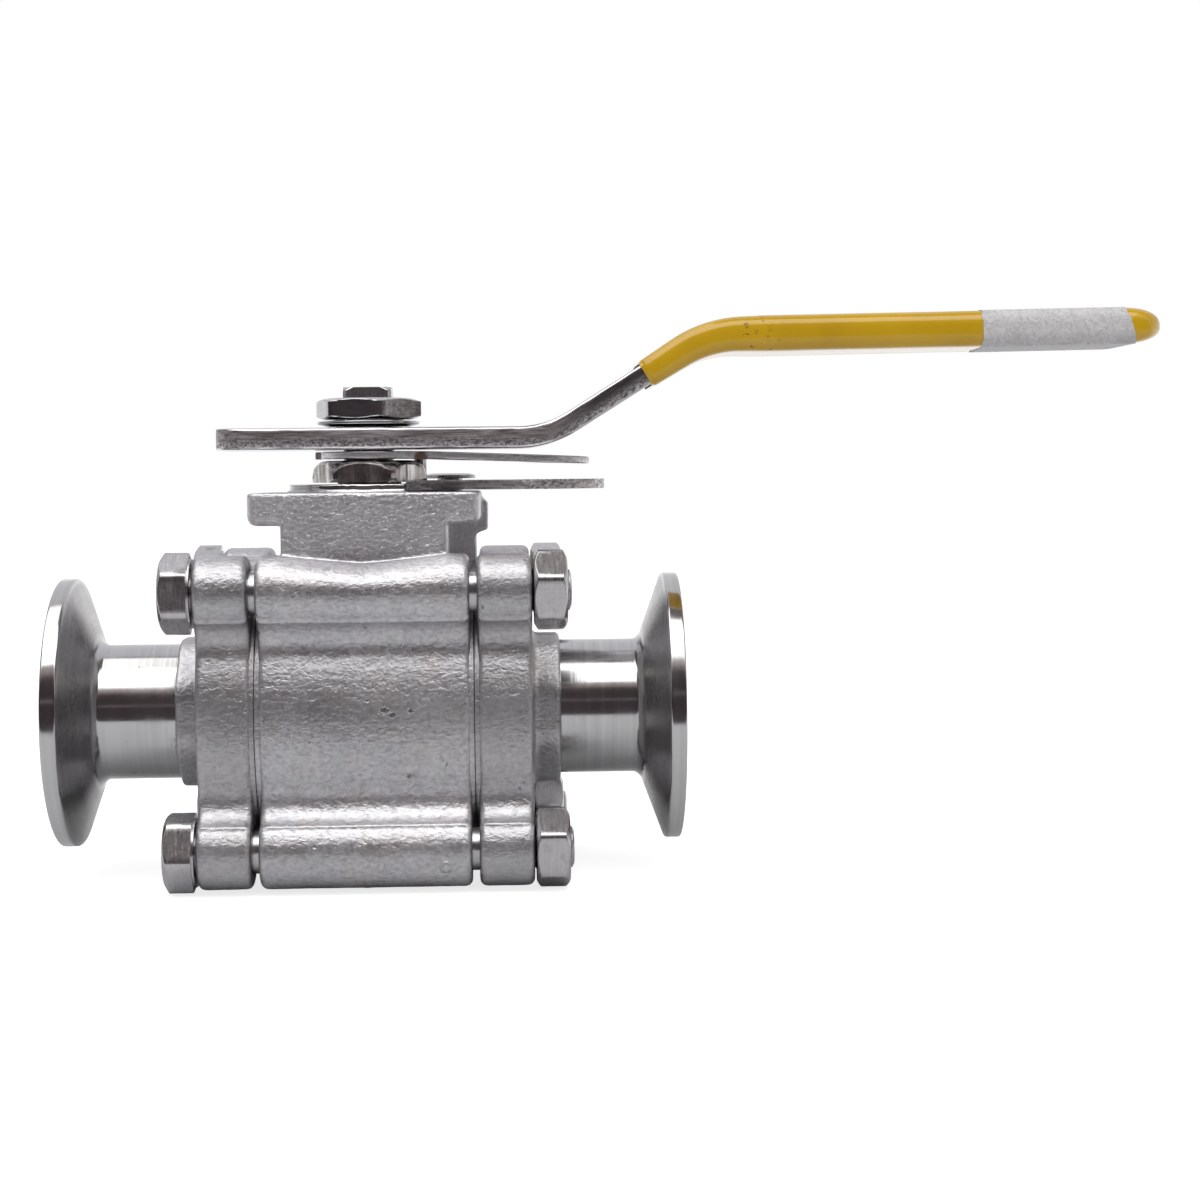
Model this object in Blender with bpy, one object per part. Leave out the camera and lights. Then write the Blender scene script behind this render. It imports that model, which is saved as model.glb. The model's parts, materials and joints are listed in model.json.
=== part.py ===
"""Three-piece ball valve with clamp ends and a lockable lever, at real size in metres, +Z up.

The origin is where the stem axis crosses the flow axis. The flow axis is X. The lever points
to +X when the valve is open, as it is here, and -Y is the side that faces the viewer.
"""

import math

import bmesh
import bpy
from mathutils import Matrix

MM = 0.001

# Clearances
GAP = 0.3 * MM                      # between pieces that meet face to face
FIT = 0.15 * MM                     # round a screw or pin in its hole

# Flow line: 1 inch sanitary tube and its clamp ferrule
TUBE_RADIUS = 12.7 * MM
TUBE_WALL = 1.65 * MM
FACE_TO_FACE = 116.0 * MM
FERRULE_RADIUS = 25.25 * MM
FERRULE_RIM = 2.85 * MM
FERRULE_CONE = math.radians(20)
GASKET_GROOVE_INSET = 3.45 * MM     # of its middle line, from the ferrule's rim
GASKET_GROOVE_HALF_WIDTH = 1.6 * MM
GASKET_GROOVE_DEPTH = 1.3 * MM

# Cast section shared by the centre body and the two end caps
BOLT_INSET = 4.2 * MM               # bolt axes, in Y and in Z, inside the bulge's radius
LOBE_RADIUS = 6.8 * MM
BULGE_PAST_RIM = 5.5 * MM
BLEND_RADIUS = 5.0 * MM
CAST_EDGE = 1.3 * MM
BODY_HALF_LENGTH = 19.0 * MM
RIM_WALL = 1.5 * MM                 # of the round joint face, outside its gasket's seat
RIM_HEIGHT = 0.5 * MM
CAP_FLANGE = 9.9 * MM
BOSS_WALL = 1.05 * MM               # round the tube's socket, at a flat
BOSS_LENGTH = 5.3 * MM
BOSS_FILLET = 1.2 * MM
BOSS_EDGE = 0.4 * MM
BOSS_CORNER_CUT = 0.3 * MM          # how far the octagon's corners are rounded back
BOSS_CORNER_LEAN = math.radians(5)  # half the bearing that each rounded corner takes up
SOCKET_DEPTH = 8.5 * MM

# Ball, seats and body joint
BALL_WALL = 6.45 * MM               # from the bore's radius to the ball's
SLOT_WIDTH = 6.6 * MM
SLOT_DEPTH = 4.0 * MM
CAVITY_CLEARANCE = 0.8 * MM         # round the ball
SEAT_CONTACT_INSET = 1.5 * MM       # inside the ball's radius
SEAT_INSET = 0.8 * MM               # from the casting's end
JOINT_GASKET_WIDTH = 1.6 * MM
JOINT_GASKET_THICKNESS = 1.4 * MM

# Mounting pad for an actuator, on its neck
PAD_WIDTH = 42.0 * MM
PAD_TOP = 41.1 * MM
PAD_THICKNESS = 5.9 * MM
PAD_CORNER = 2.0 * MM
PAD_LOWER_EDGE = 1.3 * MM
PAD_HOLE_OFFSET = 14.85 * MM        # holes on a 42 mm circle
PAD_HOLE_RADIUS = 2.75 * MM
PAD_HOLE_DEPTH = 9.0 * MM
SPIGOT_RADIUS = 15.0 * MM
SPIGOT_HEIGHT = 1.5 * MM
NECK_WIDTH = 30.0 * MM
NECK_FOOT_RISE = 0.7 * MM           # where the neck ends inside the casting, over the bolts
NECK_SPREAD = 6.0 * MM              # how far the web of the neck reaches out at its foot
NECK_SIDE_SHARE = 0.25              # of that, at the neck's corners
WEB_SHOULDER_RISE = 4.8 * MM        # over the foot, up to where the web stays full
WEB_TOP_RISE = 7.5 * MM             # over the foot, where it has nearly gone

# Feeder stub left by casting, behind the neck
STUB_REACH = 20.0 * MM
STUB_HEAD_REACH = 22.3 * MM
STUB_HEAD_BOTTOM = 33.0 * MM
STUB_HEAD_TOP = 39.8 * MM
STUB_FRONT = 1.0 * MM
STUB_BACK = 11.0 * MM

# Stem and its seals
STEM_RADIUS = 6.0 * MM
STEM_SQUARE = 9.0 * MM
STEM_PROUD = 2.05 * MM               # above the lever's nut
STEM_CHAMFER = 0.8 * MM
TANG_LENGTH = 11.0 * MM
COLLAR_RADIUS = 9.0 * MM
COLLAR_CLEARANCE = 1.1 * MM         # over the ball
COLLAR_HEIGHT = 2.6 * MM
THRUST_WASHER_THICKNESS = 1.2 * MM
O_RING_RADIUS = 0.65 * MM
O_RING_RISE = 3.4 * MM              # over the thrust washer's seat
PACKING_RADIUS = 8.7 * MM
PACKING_BOTTOM = 30.3 * MM
PACKING_HEIGHT = 6.2 * MM
GLAND_HEIGHT = 3.4 * MM
DISC_SPRING_THICKNESS = 0.6 * MM
DISC_SPRING_CONE = 0.3 * MM
GLAND_NUT_ACROSS_FLATS = 19.0 * MM
GLAND_NUT_HEIGHT = 4.1 * MM
GLAND_NUT_DOME = 2.2 * MM
GLAND_NUT_TURN = math.radians(25)

# Stop pin, lock arm and lock plate
PIN_RADIUS = 1.3 * MM
PIN_CIRCLE = 12.9 * MM
PIN_ANGLE = math.radians(44)
PIN_DEPTH = 4.0 * MM
PIN_CHAMFER = 0.3 * MM
PIN_SHY = 0.1 * MM                   # below the lock arm's top
ARM_THICKNESS = 1.4 * MM
ARM_REACH = 41.7 * MM
ARM_DROOP = 1.3 * MM
ARM_HUB_RADIUS = 9.0 * MM
STOP_EAR_FOOT = 3.0 * MM
STOP_EAR_PAST = 0.1 * MM             # how far the ear reaches past the pin
PADLOCK_HOLE_INSET = 9.2 * MM       # from the lock arm's end
PADLOCK_HOLE_RADIUS = 4.0 * MM
LOCK_PLATE_THICKNESS = 1.8 * MM
LOCK_PLATE_HALF_WIDTH = 13.4 * MM
LOCK_PLATE_PAST_ARM = 2.7 * MM
LOCK_EAR_RADIUS = 5.6 * MM
LOCK_EAR_ROOT = 2.0 * MM             # how far the ear's root runs into the plate
LOCK_EAR_HEEL = 7.0 * MM             # from the screw to the end of the root
LOCK_SCREW_RADIUS = 2.45 * MM
LOCK_SCREW_HEAD_RADIUS = 5.0 * MM
LOCK_SCREW_HEAD_HEIGHT = 1.0 * MM
LOCK_SCREW_LENGTH = 7.0 * MM
LOCK_SCREW_EDGE = 0.4 * MM
LOCK_SCREW_CROWN = 1.2 * MM          # width of the slope round the head's top

# Lever: a bent strip, with a dipped sleeve over its grip
LEVER_THICKNESS = 4.0 * MM
LEVER_TAIL = 27.8 * MM
LEVER_BEND_X = 33.6 * MM            # where the flat and the slope would cross
LEVER_SLOPE = math.radians(31.9)
LEVER_RISE = 35.4 * MM              # along the slope, from crossing to crossing
LEVER_GRIP_SLOPE = math.radians(0.85)
LEVER_GRIP = 82.7 * MM              # from the upper crossing to the end of the strip
LEVER_LOWER_BEND = 20.0 * MM
LEVER_UPPER_BEND = 22.0 * MM
LEVER_HUB_WIDTH = 26.0 * MM
LEVER_GRIP_WIDTH = 20.0 * MM
LEVER_TAPER_START = 43.0 * MM       # along the strip from its tail
LEVER_TAPER_END = 68.0 * MM
LEVER_CORNER = 6.0 * MM
LEVER_EDGE = 0.7 * MM
SLEEVE_START = 82.6 * MM            # along the strip from its tail
SLEEVE_MOUTH_HEIGHT = 5.7 * MM
SLEEVE_HEIGHT = 7.0 * MM
SLEEVE_FULL_AT = 24.0 * MM          # along the sleeve from its mouth
SLEEVE_ROUNDNESS = 0.8              # corner radius of its section, as a share of half its height
SLEEVE_LIP = 0.5 * MM
SLEEVE_LIP_CUT = 0.2 * MM
SLEEVE_TIP = 3.5 * MM               # from the end of the strip to the tip
SLEEVE_NOSE = 8.0 * MM

# Lever fastening
WASHER_RADIUS = 9.65 * MM
WASHER_FOOT_RADIUS = 7.7 * MM
WASHER_HEIGHT = 1.05 * MM
WASHER_DISH = 0.5 * MM
LEVER_NUT_ACROSS_FLATS = 18.0 * MM
LEVER_NUT_HEIGHT = 4.0 * MM
LEVER_NUT_TURN = math.radians(17)

# Body bolts and nuts, M8
BOLT_RADIUS = 3.95 * MM
BOLT_HOLE_RADIUS = 4.3 * MM
BOLT_ACROSS_FLATS = 13.0 * MM
BOLT_HEAD_HEIGHT = 5.6 * MM
BOLT_WASHER_FACE = 0.4 * MM
BOLT_NUT_HEIGHT = 6.1 * MM
BOLT_END_PROUD = 0.7 * MM
BOLT_END_CHAMFER = 0.6 * MM
BOLT_COLLAR_SHARE = 0.96            # round washer face under the head, of its width across flats
HEX_CHAMFER = math.radians(25)
HEX_TOP_SHARE = 0.97                # flat top of a hexagon, of its width across flats
HEAD_ROLLS = {"front_upper": 0, "front_lower": -21, "rear_upper": -7, "rear_lower": 11}
NUT_ROLLS = {"front_upper": 10, "front_lower": 5, "rear_upper": -14, "rear_lower": 22}

# Segments round a turned piece
FINE = 44
MEDIUM = 28
COARSE = 24
HEX_STEPS = 12

# Worked out from the sizes above
BORE_RADIUS = TUBE_RADIUS - TUBE_WALL
GASKET_GROOVE_RADIUS = FERRULE_RADIUS - GASKET_GROOVE_INSET
BALL_RADIUS = BORE_RADIUS + BALL_WALL
CAVITY_RADIUS = BALL_RADIUS + CAVITY_CLEARANCE
SEAT_CONTACT_RADIUS = BALL_RADIUS - SEAT_CONTACT_INSET
SEAT_BACK = BODY_HALF_LENGTH - SEAT_INSET
RIM_RADIUS = CAVITY_RADIUS + JOINT_GASKET_WIDTH + 2 * GAP + RIM_WALL
BULGE_RADIUS = RIM_RADIUS + BULGE_PAST_RIM
BOLT_OFFSET = BULGE_RADIUS - BOLT_INSET
BOSS_ACROSS_FLATS = 2 * (TUBE_RADIUS + FIT + BOSS_WALL)
NECK_FOOT = BOLT_OFFSET + NECK_FOOT_RISE
WEB_SHOULDER = NECK_FOOT + WEB_SHOULDER_RISE
WEB_TOP = NECK_FOOT + WEB_TOP_RISE
COLLAR_BOTTOM = BALL_RADIUS + COLLAR_CLEARANCE
COLLAR_TOP = COLLAR_BOTTOM + COLLAR_HEIGHT
HALF_LENGTH = FACE_TO_FACE / 2
RIM_FACE = BODY_HALF_LENGTH + RIM_HEIGHT
CAP_RIM_FACE = RIM_FACE + GAP
CAP_INNER = CAP_RIM_FACE + RIM_HEIGHT
CAP_OUTER = CAP_INNER + CAP_FLANGE
BOSS_END = CAP_OUTER + BOSS_LENGTH
SOCKET_FLOOR = BOSS_END - SOCKET_DEPTH
SPIGOT_TOP = PAD_TOP + SPIGOT_HEIGHT
PAD_BOTTOM = PAD_TOP - PAD_THICKNESS
THRUST_SEAT = COLLAR_TOP + THRUST_WASHER_THICKNESS + 2 * GAP
O_RING_HEIGHT = THRUST_SEAT + O_RING_RISE
PACKING_FLOOR = PACKING_BOTTOM - GAP
PACKING_TOP = PACKING_BOTTOM + PACKING_HEIGHT
GLAND_TOP = PACKING_TOP + GAP + GLAND_HEIGHT
LOWER_SPRING = GLAND_TOP + GAP
UPPER_SPRING = LOWER_SPRING + DISC_SPRING_THICKNESS + DISC_SPRING_CONE + GAP
GLAND_NUT_BOTTOM = UPPER_SPRING + DISC_SPRING_THICKNESS + DISC_SPRING_CONE + GAP
GLAND_NUT_TOP = GLAND_NUT_BOTTOM + GLAND_NUT_HEIGHT
ARM_BOTTOM = GLAND_NUT_TOP + GAP
ARM_TOP = ARM_BOTTOM + ARM_THICKNESS
LEVER_BOTTOM = ARM_TOP + GAP
LEVER_TOP = LEVER_BOTTOM + LEVER_THICKNESS
WASHER_BOTTOM = LEVER_TOP + GAP
LEVER_NUT_BOTTOM = WASHER_BOTTOM + WASHER_HEIGHT + GAP
STEM_TOP = LEVER_NUT_BOTTOM + LEVER_NUT_HEIGHT + STEM_PROUD
LOCK_PLATE_BOTTOM = PAD_TOP + GAP
LOCK_PLATE_TOP = LOCK_PLATE_BOTTOM + LOCK_PLATE_THICKNESS
PIN_X = PIN_CIRCLE * math.cos(PIN_ANGLE)
PIN_Y = PIN_CIRCLE * math.sin(PIN_ANGLE)
ARM_HALF_WIDTH = PIN_Y - PIN_RADIUS - GAP
PADLOCK_HOLE_X = ARM_REACH - PADLOCK_HOLE_INSET
LOCK_PLATE_REACH = ARM_REACH + LOCK_PLATE_PAST_ARM
BOLT_HEAD_FACE = CAP_OUTER + GAP


def material(name, color, metallic, roughness):
    """A Principled material of one colour."""
    made = bpy.data.materials.new(name)
    made.use_nodes = True
    shader = made.node_tree.nodes["Principled BSDF"]
    shader.inputs["Base Color"].default_value = (*color, 1)
    shader.inputs["Metallic"].default_value = metallic
    shader.inputs["Roughness"].default_value = roughness
    return made


def arc(centre, radius, start, end, steps):
    """Points on an arc from start to end, both included."""
    turns = [start + (end - start) * i / steps for i in range(steps + 1)]
    return [(centre[0] + radius * math.cos(a), centre[1] + radius * math.sin(a)) for a in turns]


def loft(rings, closed=False):
    """Mesh over rings of points. Open ends are capped, or the last ring meets the first."""
    bm = bmesh.new()
    rows = [[bm.verts.new(point) for point in ring] for ring in rings]
    pairs = list(zip(rows, rows[1:]))
    if closed:
        pairs.append((rows[-1], rows[0]))
    for low, high in pairs:
        for i in range(len(low)):
            j = (i + 1) % len(low)
            bm.faces.new((low[i], low[j], high[j], high[i]))
    if not closed:
        bm.faces.new(rows[0])
        bm.faces.new(rows[-1])
    return finished_mesh(bm)


def finished_mesh(bm):
    """A mesh with its faces outward and its round stretches smooth."""
    bmesh.ops.recalc_face_normals(bm, faces=bm.faces[:])
    mesh = bpy.data.meshes.new("shape")
    bm.to_mesh(mesh)
    bm.free()
    mesh.shade_smooth()
    mesh.set_sharp_from_angle(angle=math.radians(32))
    return mesh


def turned_rings(profile, axis, steps):
    """Rings round X or Z, one for each (along, radius) point of a profile."""
    angles = [2 * math.pi * i / steps for i in range(steps)]
    if axis == "X":
        return [[(a, r * math.cos(t), r * math.sin(t)) for t in angles] for a, r in profile]
    return [[(r * math.cos(t), r * math.sin(t), a) for t in angles] for a, r in profile]


def turned(profile, axis, steps):
    """A ring turned about X or Z from a closed profile of (along, radius) points."""
    return loft(turned_rings(profile, axis, steps), closed=True)


def solid_of_revolution(profile, axis, steps):
    """A solid turned from (along, radius) points, with flat ends."""
    return loft(turned_rings(profile, axis, steps))


def rod(axis, radius, low, high, steps, centre=(0, 0)):
    """A plain round rod along X or Z, with centre in the two other axes."""
    around = arc(centre, radius, 0, 2 * math.pi * (steps - 1) / steps, steps - 1)
    if axis == "X":
        return loft([[(x, u, v) for u, v in around] for x in (low, high)])
    return loft([[(u, v, z) for u, v in around] for z in (low, high)])


def plate(outline, low, high):
    """An outline in X and Y, extruded in Z."""
    return loft([[(x, y, z) for x, y in outline] for z in (low, high)])


def block(low, high):
    """A box between two corners."""
    outline = [(low[0], low[1]), (high[0], low[1]), (high[0], high[1]), (low[0], high[1])]
    return plate(outline, low[2], high[2])


def add(name, mesh, finish=None, place=(0, 0, 0), turn=0, roll=0, parent=None):
    """An object of the mesh, rolled about X or turned about Z, and placed."""
    made = bpy.data.objects.new(name, mesh)
    bpy.context.scene.collection.objects.link(made)
    made.location = place
    made.rotation_euler = (roll, 0, turn)
    made.parent = parent
    if finish and not mesh.materials:
        mesh.materials.append(finish)
    return made


def combine(base, tool_mesh, operation):
    """Join a mesh to the base, or cut it out, with an exact Boolean."""
    tool = add("tool", tool_mesh)
    cut = base.modifiers.new("combine", "BOOLEAN")
    cut.operation = operation
    cut.solver = "EXACT"
    cut.object = tool
    evaluated = base.evaluated_get(bpy.context.evaluated_depsgraph_get())
    result = bpy.data.meshes.new_from_object(evaluated)
    base.modifiers.clear()
    bpy.data.objects.remove(tool)
    base.data = result


def clean(base):
    """Merge flat neighbours that Booleans left, and keep smooth shading."""
    bm = bmesh.new()
    bm.from_mesh(base.data)
    bmesh.ops.remove_doubles(bm, verts=bm.verts[:], dist=0.002 * MM)
    bmesh.ops.dissolve_limit(
        bm, angle_limit=math.radians(0.3), verts=bm.verts[:], edges=bm.edges[:]
    )
    finish = base.data.materials[0]
    base.data = finished_mesh(bm)
    base.data.materials.append(finish)


def lobed_outline(inset):
    """The cast section in Y and Z: a round body with a lobe round each bolt."""
    reach = BOLT_OFFSET * math.sqrt(2)
    to_blend = BULGE_RADIUS + BLEND_RADIUS
    lobe_to_blend = LOBE_RADIUS + BLEND_RADIUS
    near = math.acos((to_blend**2 + reach**2 - lobe_to_blend**2) / (2 * to_blend * reach))
    far = math.acos((lobe_to_blend**2 + reach**2 - to_blend**2) / (2 * lobe_to_blend * reach))
    points = []
    for quarter in range(4):
        middle = math.pi / 4 + quarter * math.pi / 2
        lobe = (reach * math.cos(middle), reach * math.sin(middle))
        for side in (-1, 1):
            bearing = middle + side * near
            blend = (to_blend * math.cos(bearing), to_blend * math.sin(bearing))
            to_axis = bearing + math.pi
            sweep = side * (near + far)
            hollow = arc(blend, BLEND_RADIUS + inset, to_axis, to_axis + sweep, 3)
            if side < 0:
                bulge_from = middle - math.pi / 2 + near
                points += arc((0, 0), BULGE_RADIUS - inset, bulge_from, middle - near, 4)[1:-1]
                points += hollow
                points += arc(
                    lobe, LOBE_RADIUS - inset, middle - math.pi + far, middle + math.pi - far, 9
                )[1:-1]
            else:
                points += hollow[::-1]
    return points


def cast_slab(low, high):
    """A length of the cast section along X, with rounded edges."""
    rings = []
    for end, inward in ((low, 1), (high, -1)):
        stages = []
        for step in range(3):
            t = step * math.pi / 4
            x = end + inward * CAST_EDGE * (1 - math.cos(t))
            inset = CAST_EDGE * (1 - math.sin(t))
            stages.append([(x, y, z) for y, z in lobed_outline(inset)])
        rings += stages if inward > 0 else stages[::-1]
    return loft(rings)


def drill_bolt_holes(base, low, high):
    """Clearance holes for the four body bolts."""
    for y, z in bolt_places().values():
        combine(base, rod("X", BOLT_HOLE_RADIUS, low, high, HEX_STEPS, (y, z)), "DIFFERENCE")


def bolt_places():
    """The four bolt axes by name, as Y and Z."""
    return {
        f"{row}_{level}": (y * BOLT_OFFSET, z * BOLT_OFFSET)
        for row, y in (("front", -1), ("rear", 1))
        for level, z in (("upper", 1), ("lower", -1))
    }


def neck():
    """The neck under the pad, with a web that spreads to a blunt point at its foot."""
    half_pad = PAD_WIDTH / 2
    half = NECK_WIDTH / 2
    rings = []
    for height, share in ((NECK_FOOT, 1.0), (WEB_SHOULDER, 0.9), (WEB_TOP, 0.3), (PAD_TOP - MM, 0)):
        side = half_pad + NECK_SIDE_SHARE * share * NECK_SPREAD
        middle = half_pad + share * NECK_SPREAD
        rings.append(
            [
                (x * half, y * depth, height)
                for x, y, depth in (
                    (1, 1, side),
                    (0, 1, middle),
                    (-1, 1, side),
                    (-1, -1, side),
                    (0, -1, middle),
                    (1, -1, side),
                )
            ]
        )
    return loft(rings)


def rounded_rectangle(half_width, half_height, corner, steps):
    """Outline of a rectangle with round corners."""
    points = []
    for quarter, (u, v) in enumerate(((1, 1), (-1, 1), (-1, -1), (1, -1))):
        middle = (u * (half_width - corner), v * (half_height - corner))
        start = quarter * math.pi / 2
        points += arc(middle, corner, start, start + math.pi / 2, steps)
    return points


def make_pad():
    """Square mounting pad, rounded along its lower edge."""
    edge = PAD_LOWER_EDGE
    half = PAD_WIDTH / 2
    levels = (
        (PAD_BOTTOM, half - edge),
        (PAD_BOTTOM + edge * (1 - math.cos(math.pi / 4)), half - edge * (1 - math.sin(math.pi / 4))),
        (PAD_BOTTOM + edge, half),
        (PAD_TOP, half),
    )
    return loft(
        [[(x, y, z) for x, y in rounded_rectangle(w, w, PAD_CORNER, 3)] for z, w in levels]
    )


def feeder_stub():
    """What is left of the casting's feeder, at the rear of the neck's right side."""
    inner = NECK_WIDTH / 2 - MM
    foot = BOLT_OFFSET
    side_view = [
        (inner, foot),
        (STUB_REACH, foot),
        (STUB_REACH, STUB_HEAD_BOTTOM),
        (STUB_HEAD_REACH, STUB_HEAD_BOTTOM + 0.8 * MM),
        (STUB_HEAD_REACH, STUB_HEAD_TOP - MM),
        (STUB_HEAD_REACH - MM, STUB_HEAD_TOP),
        (inner, STUB_HEAD_TOP),
    ]
    return loft([[(x, y, z) for x, z in side_view] for y in (STUB_FRONT, STUB_BACK)])


def make_body(finish):
    """Centre casting: lobed body, neck, actuator pad, and every bore in it."""
    body = add("body", cast_slab(-BODY_HALF_LENGTH, BODY_HALF_LENGTH), finish)
    combine(body, rod("X", RIM_RADIUS, -RIM_FACE, RIM_FACE, FINE), "UNION")
    combine(body, neck(), "UNION")
    combine(body, make_pad(), "UNION")
    combine(body, feeder_stub(), "UNION")
    combine(body, rod("Z", SPIGOT_RADIUS, PAD_BOTTOM + MM, SPIGOT_TOP, FINE), "UNION")
    # Ball cavity, widened at each mouth for the joint gasket.
    mouth = RIM_FACE - JOINT_GASKET_THICKNESS - GAP
    mouth_radius = CAVITY_RADIUS + JOINT_GASKET_WIDTH + 2 * GAP
    beyond = RIM_FACE + MM
    cavity = [
        (-beyond, mouth_radius),
        (-mouth, mouth_radius),
        (-mouth, CAVITY_RADIUS),
        (mouth, CAVITY_RADIUS),
        (mouth, mouth_radius),
        (beyond, mouth_radius),
    ]
    combine(body, solid_of_revolution(cavity, "X", FINE), "DIFFERENCE")
    # Stem bore: thrust seat below, shaft bore, and the packing chamber above.
    stem_bore = [
        (CAVITY_RADIUS - 3 * MM, COLLAR_RADIUS + GAP),
        (THRUST_SEAT, COLLAR_RADIUS + GAP),
        (THRUST_SEAT, STEM_RADIUS + GAP),
        (PACKING_FLOOR, STEM_RADIUS + GAP),
        (PACKING_FLOOR, PACKING_RADIUS + GAP),
        (SPIGOT_TOP + MM, PACKING_RADIUS + GAP),
    ]
    combine(body, solid_of_revolution(stem_bore, "Z", MEDIUM), "DIFFERENCE")
    drill_bolt_holes(body, -RIM_FACE - MM, RIM_FACE + MM)
    for x in (-PAD_HOLE_OFFSET, PAD_HOLE_OFFSET):
        for y in (-PAD_HOLE_OFFSET, PAD_HOLE_OFFSET):
            low = PAD_TOP - PAD_HOLE_DEPTH
            drill = rod("Z", PAD_HOLE_RADIUS, low, PAD_TOP + MM, HEX_STEPS, (x, y))
            combine(body, drill, "DIFFERENCE")
    pin_hole = rod(
        "Z", PIN_RADIUS + FIT, SPIGOT_TOP - PIN_DEPTH, SPIGOT_TOP + MM, HEX_STEPS, (PIN_X, PIN_Y)
    )
    combine(body, pin_hole, "DIFFERENCE")
    clean(body)


def boss():
    """Eight-sided boss that takes the tube, with a fillet at its foot."""
    rings = []
    for x, swell in (
        (CAP_OUTER - 2 * MM, BOSS_FILLET),
        (CAP_OUTER, BOSS_FILLET),
        (CAP_OUTER + BOSS_FILLET, 0),
        (BOSS_END - BOSS_EDGE, 0),
        (BOSS_END, -BOSS_EDGE),
    ):
        flat = BOSS_ACROSS_FLATS / 2 + swell
        # Three points make each corner: two on its flats, and one between, cut back.
        beside = flat / math.cos(math.pi / 8 - BOSS_CORNER_LEAN)
        between = flat / math.cos(math.pi / 8) - BOSS_CORNER_CUT
        ring = []
        for corner in range(8):
            bearing = (corner + 0.5) * math.pi / 4
            for lean, reach in ((-1, beside), (0, between), (1, beside)):
                turn = bearing + lean * BOSS_CORNER_LEAN
                ring.append((x, reach * math.cos(turn), reach * math.sin(turn)))
        rings.append(ring)
    return loft(rings)


def make_end_caps(finish):
    """Two equal end caps. The mesh is drawn for +X, and the left one is turned round."""
    cap = add("end_cap_right", cast_slab(CAP_INNER, CAP_OUTER), finish)
    rim = [
        (SEAT_BACK + GAP, CAVITY_RADIUS - 2 * GAP),
        (CAP_RIM_FACE, CAVITY_RADIUS - 2 * GAP),
        (CAP_RIM_FACE, RIM_RADIUS),
        (CAP_INNER + 2 * MM, RIM_RADIUS),
    ]
    combine(cap, solid_of_revolution(rim, "X", FINE), "UNION")
    combine(cap, boss(), "UNION")
    bore = [
        (SEAT_BACK - MM, BORE_RADIUS),
        (SOCKET_FLOOR, BORE_RADIUS),
        (SOCKET_FLOOR, TUBE_RADIUS + FIT),
        (BOSS_END + MM, TUBE_RADIUS + FIT),
    ]
    combine(cap, solid_of_revolution(bore, "X", FINE), "DIFFERENCE")
    drill_bolt_holes(cap, CAP_INNER - MM, CAP_OUTER + MM)
    clean(cap)
    add("end_cap_left", cap.data, turn=math.pi)


def make_ferrules(finish):
    """Two equal ferrules with their tube, welded into the end caps' sockets."""
    cone_end = HALF_LENGTH - FERRULE_RIM
    cone_foot = cone_end - (FERRULE_RADIUS - TUBE_RADIUS) * math.tan(FERRULE_CONE)
    edge = 0.4 * MM
    groove = arc(
        (HALF_LENGTH, GASKET_GROOVE_RADIUS), GASKET_GROOVE_HALF_WIDTH, -math.pi / 2, -1.5 * math.pi, 5
    )
    flatten = GASKET_GROOVE_DEPTH / GASKET_GROOVE_HALF_WIDTH
    groove = [(HALF_LENGTH + (x - HALF_LENGTH) * flatten, r) for x, r in groove]
    profile = [
        (SOCKET_FLOOR + GAP, BORE_RADIUS),
        (HALF_LENGTH, BORE_RADIUS),
        *groove,
        (HALF_LENGTH, FERRULE_RADIUS - edge),
        (HALF_LENGTH - edge, FERRULE_RADIUS),
        (cone_end, FERRULE_RADIUS),
        (cone_foot + 0.5 * MM, TUBE_RADIUS + 1.4 * MM),
        (cone_foot - 0.6 * MM, TUBE_RADIUS),
        (SOCKET_FLOOR + GAP, TUBE_RADIUS),
    ]
    mesh = turned(profile, "X", FINE)
    add("clamp_ferrule_right", mesh, finish)
    add("clamp_ferrule_left", mesh, turn=math.pi)


def make_ball(finish, stem_axis):
    """Ball with a through bore along X, and a slot across it for the stem's tang."""
    tip = math.acos(BORE_RADIUS / BALL_RADIUS)
    profile = [(BALL_RADIUS * math.sin(a), BALL_RADIUS * math.cos(a)) for a in spread(-tip, tip, 12)]
    ball = add("ball", turned(profile, "X", 36), finish, parent=stem_axis)
    half = SLOT_WIDTH / 2
    low = (-half, -BALL_RADIUS - MM, BALL_RADIUS - SLOT_DEPTH)
    high = (half, BALL_RADIUS + MM, BALL_RADIUS + MM)
    combine(ball, block(low, high), "DIFFERENCE")
    clean(ball)


def spread(start, end, steps):
    """Evenly spaced values from start to end, both included."""
    return [start + (end - start) * i / steps for i in range(steps + 1)]


def make_seats(finish):
    """Two seat rings, hollowed to the ball."""
    sphere = BALL_RADIUS + GAP
    inner = BORE_RADIUS + GAP
    lips = spread(math.asin(inner / sphere), math.asin(SEAT_CONTACT_RADIUS / sphere), 4)
    profile = [(sphere * math.cos(a), sphere * math.sin(a)) for a in lips]
    outer = CAVITY_RADIUS - GAP
    profile += [(profile[-1][0] + 0.4 * MM, outer), (SEAT_BACK, outer), (SEAT_BACK, inner)]
    mesh = turned(profile, "X", MEDIUM)
    add("seat_right", mesh, finish)
    add("seat_left", mesh, turn=math.pi)


def make_joint_gaskets(finish):
    """Two gaskets between the centre body and the end caps."""
    inner = CAVITY_RADIUS + GAP
    outer = inner + JOINT_GASKET_WIDTH
    back = RIM_FACE
    front = RIM_FACE - JOINT_GASKET_THICKNESS
    mesh = turned([(front, inner), (back, inner), (back, outer), (front, outer)], "X", MEDIUM)
    add("joint_gasket_right", mesh, finish)
    add("joint_gasket_left", mesh, turn=math.pi)


def squared(turn, radius):
    """Radius of the stem's square, whose corners are turned down to a radius."""
    flat = STEM_SQUARE / 2 / max(abs(math.cos(turn)), abs(math.sin(turn)))
    return min(flat, radius)


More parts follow.
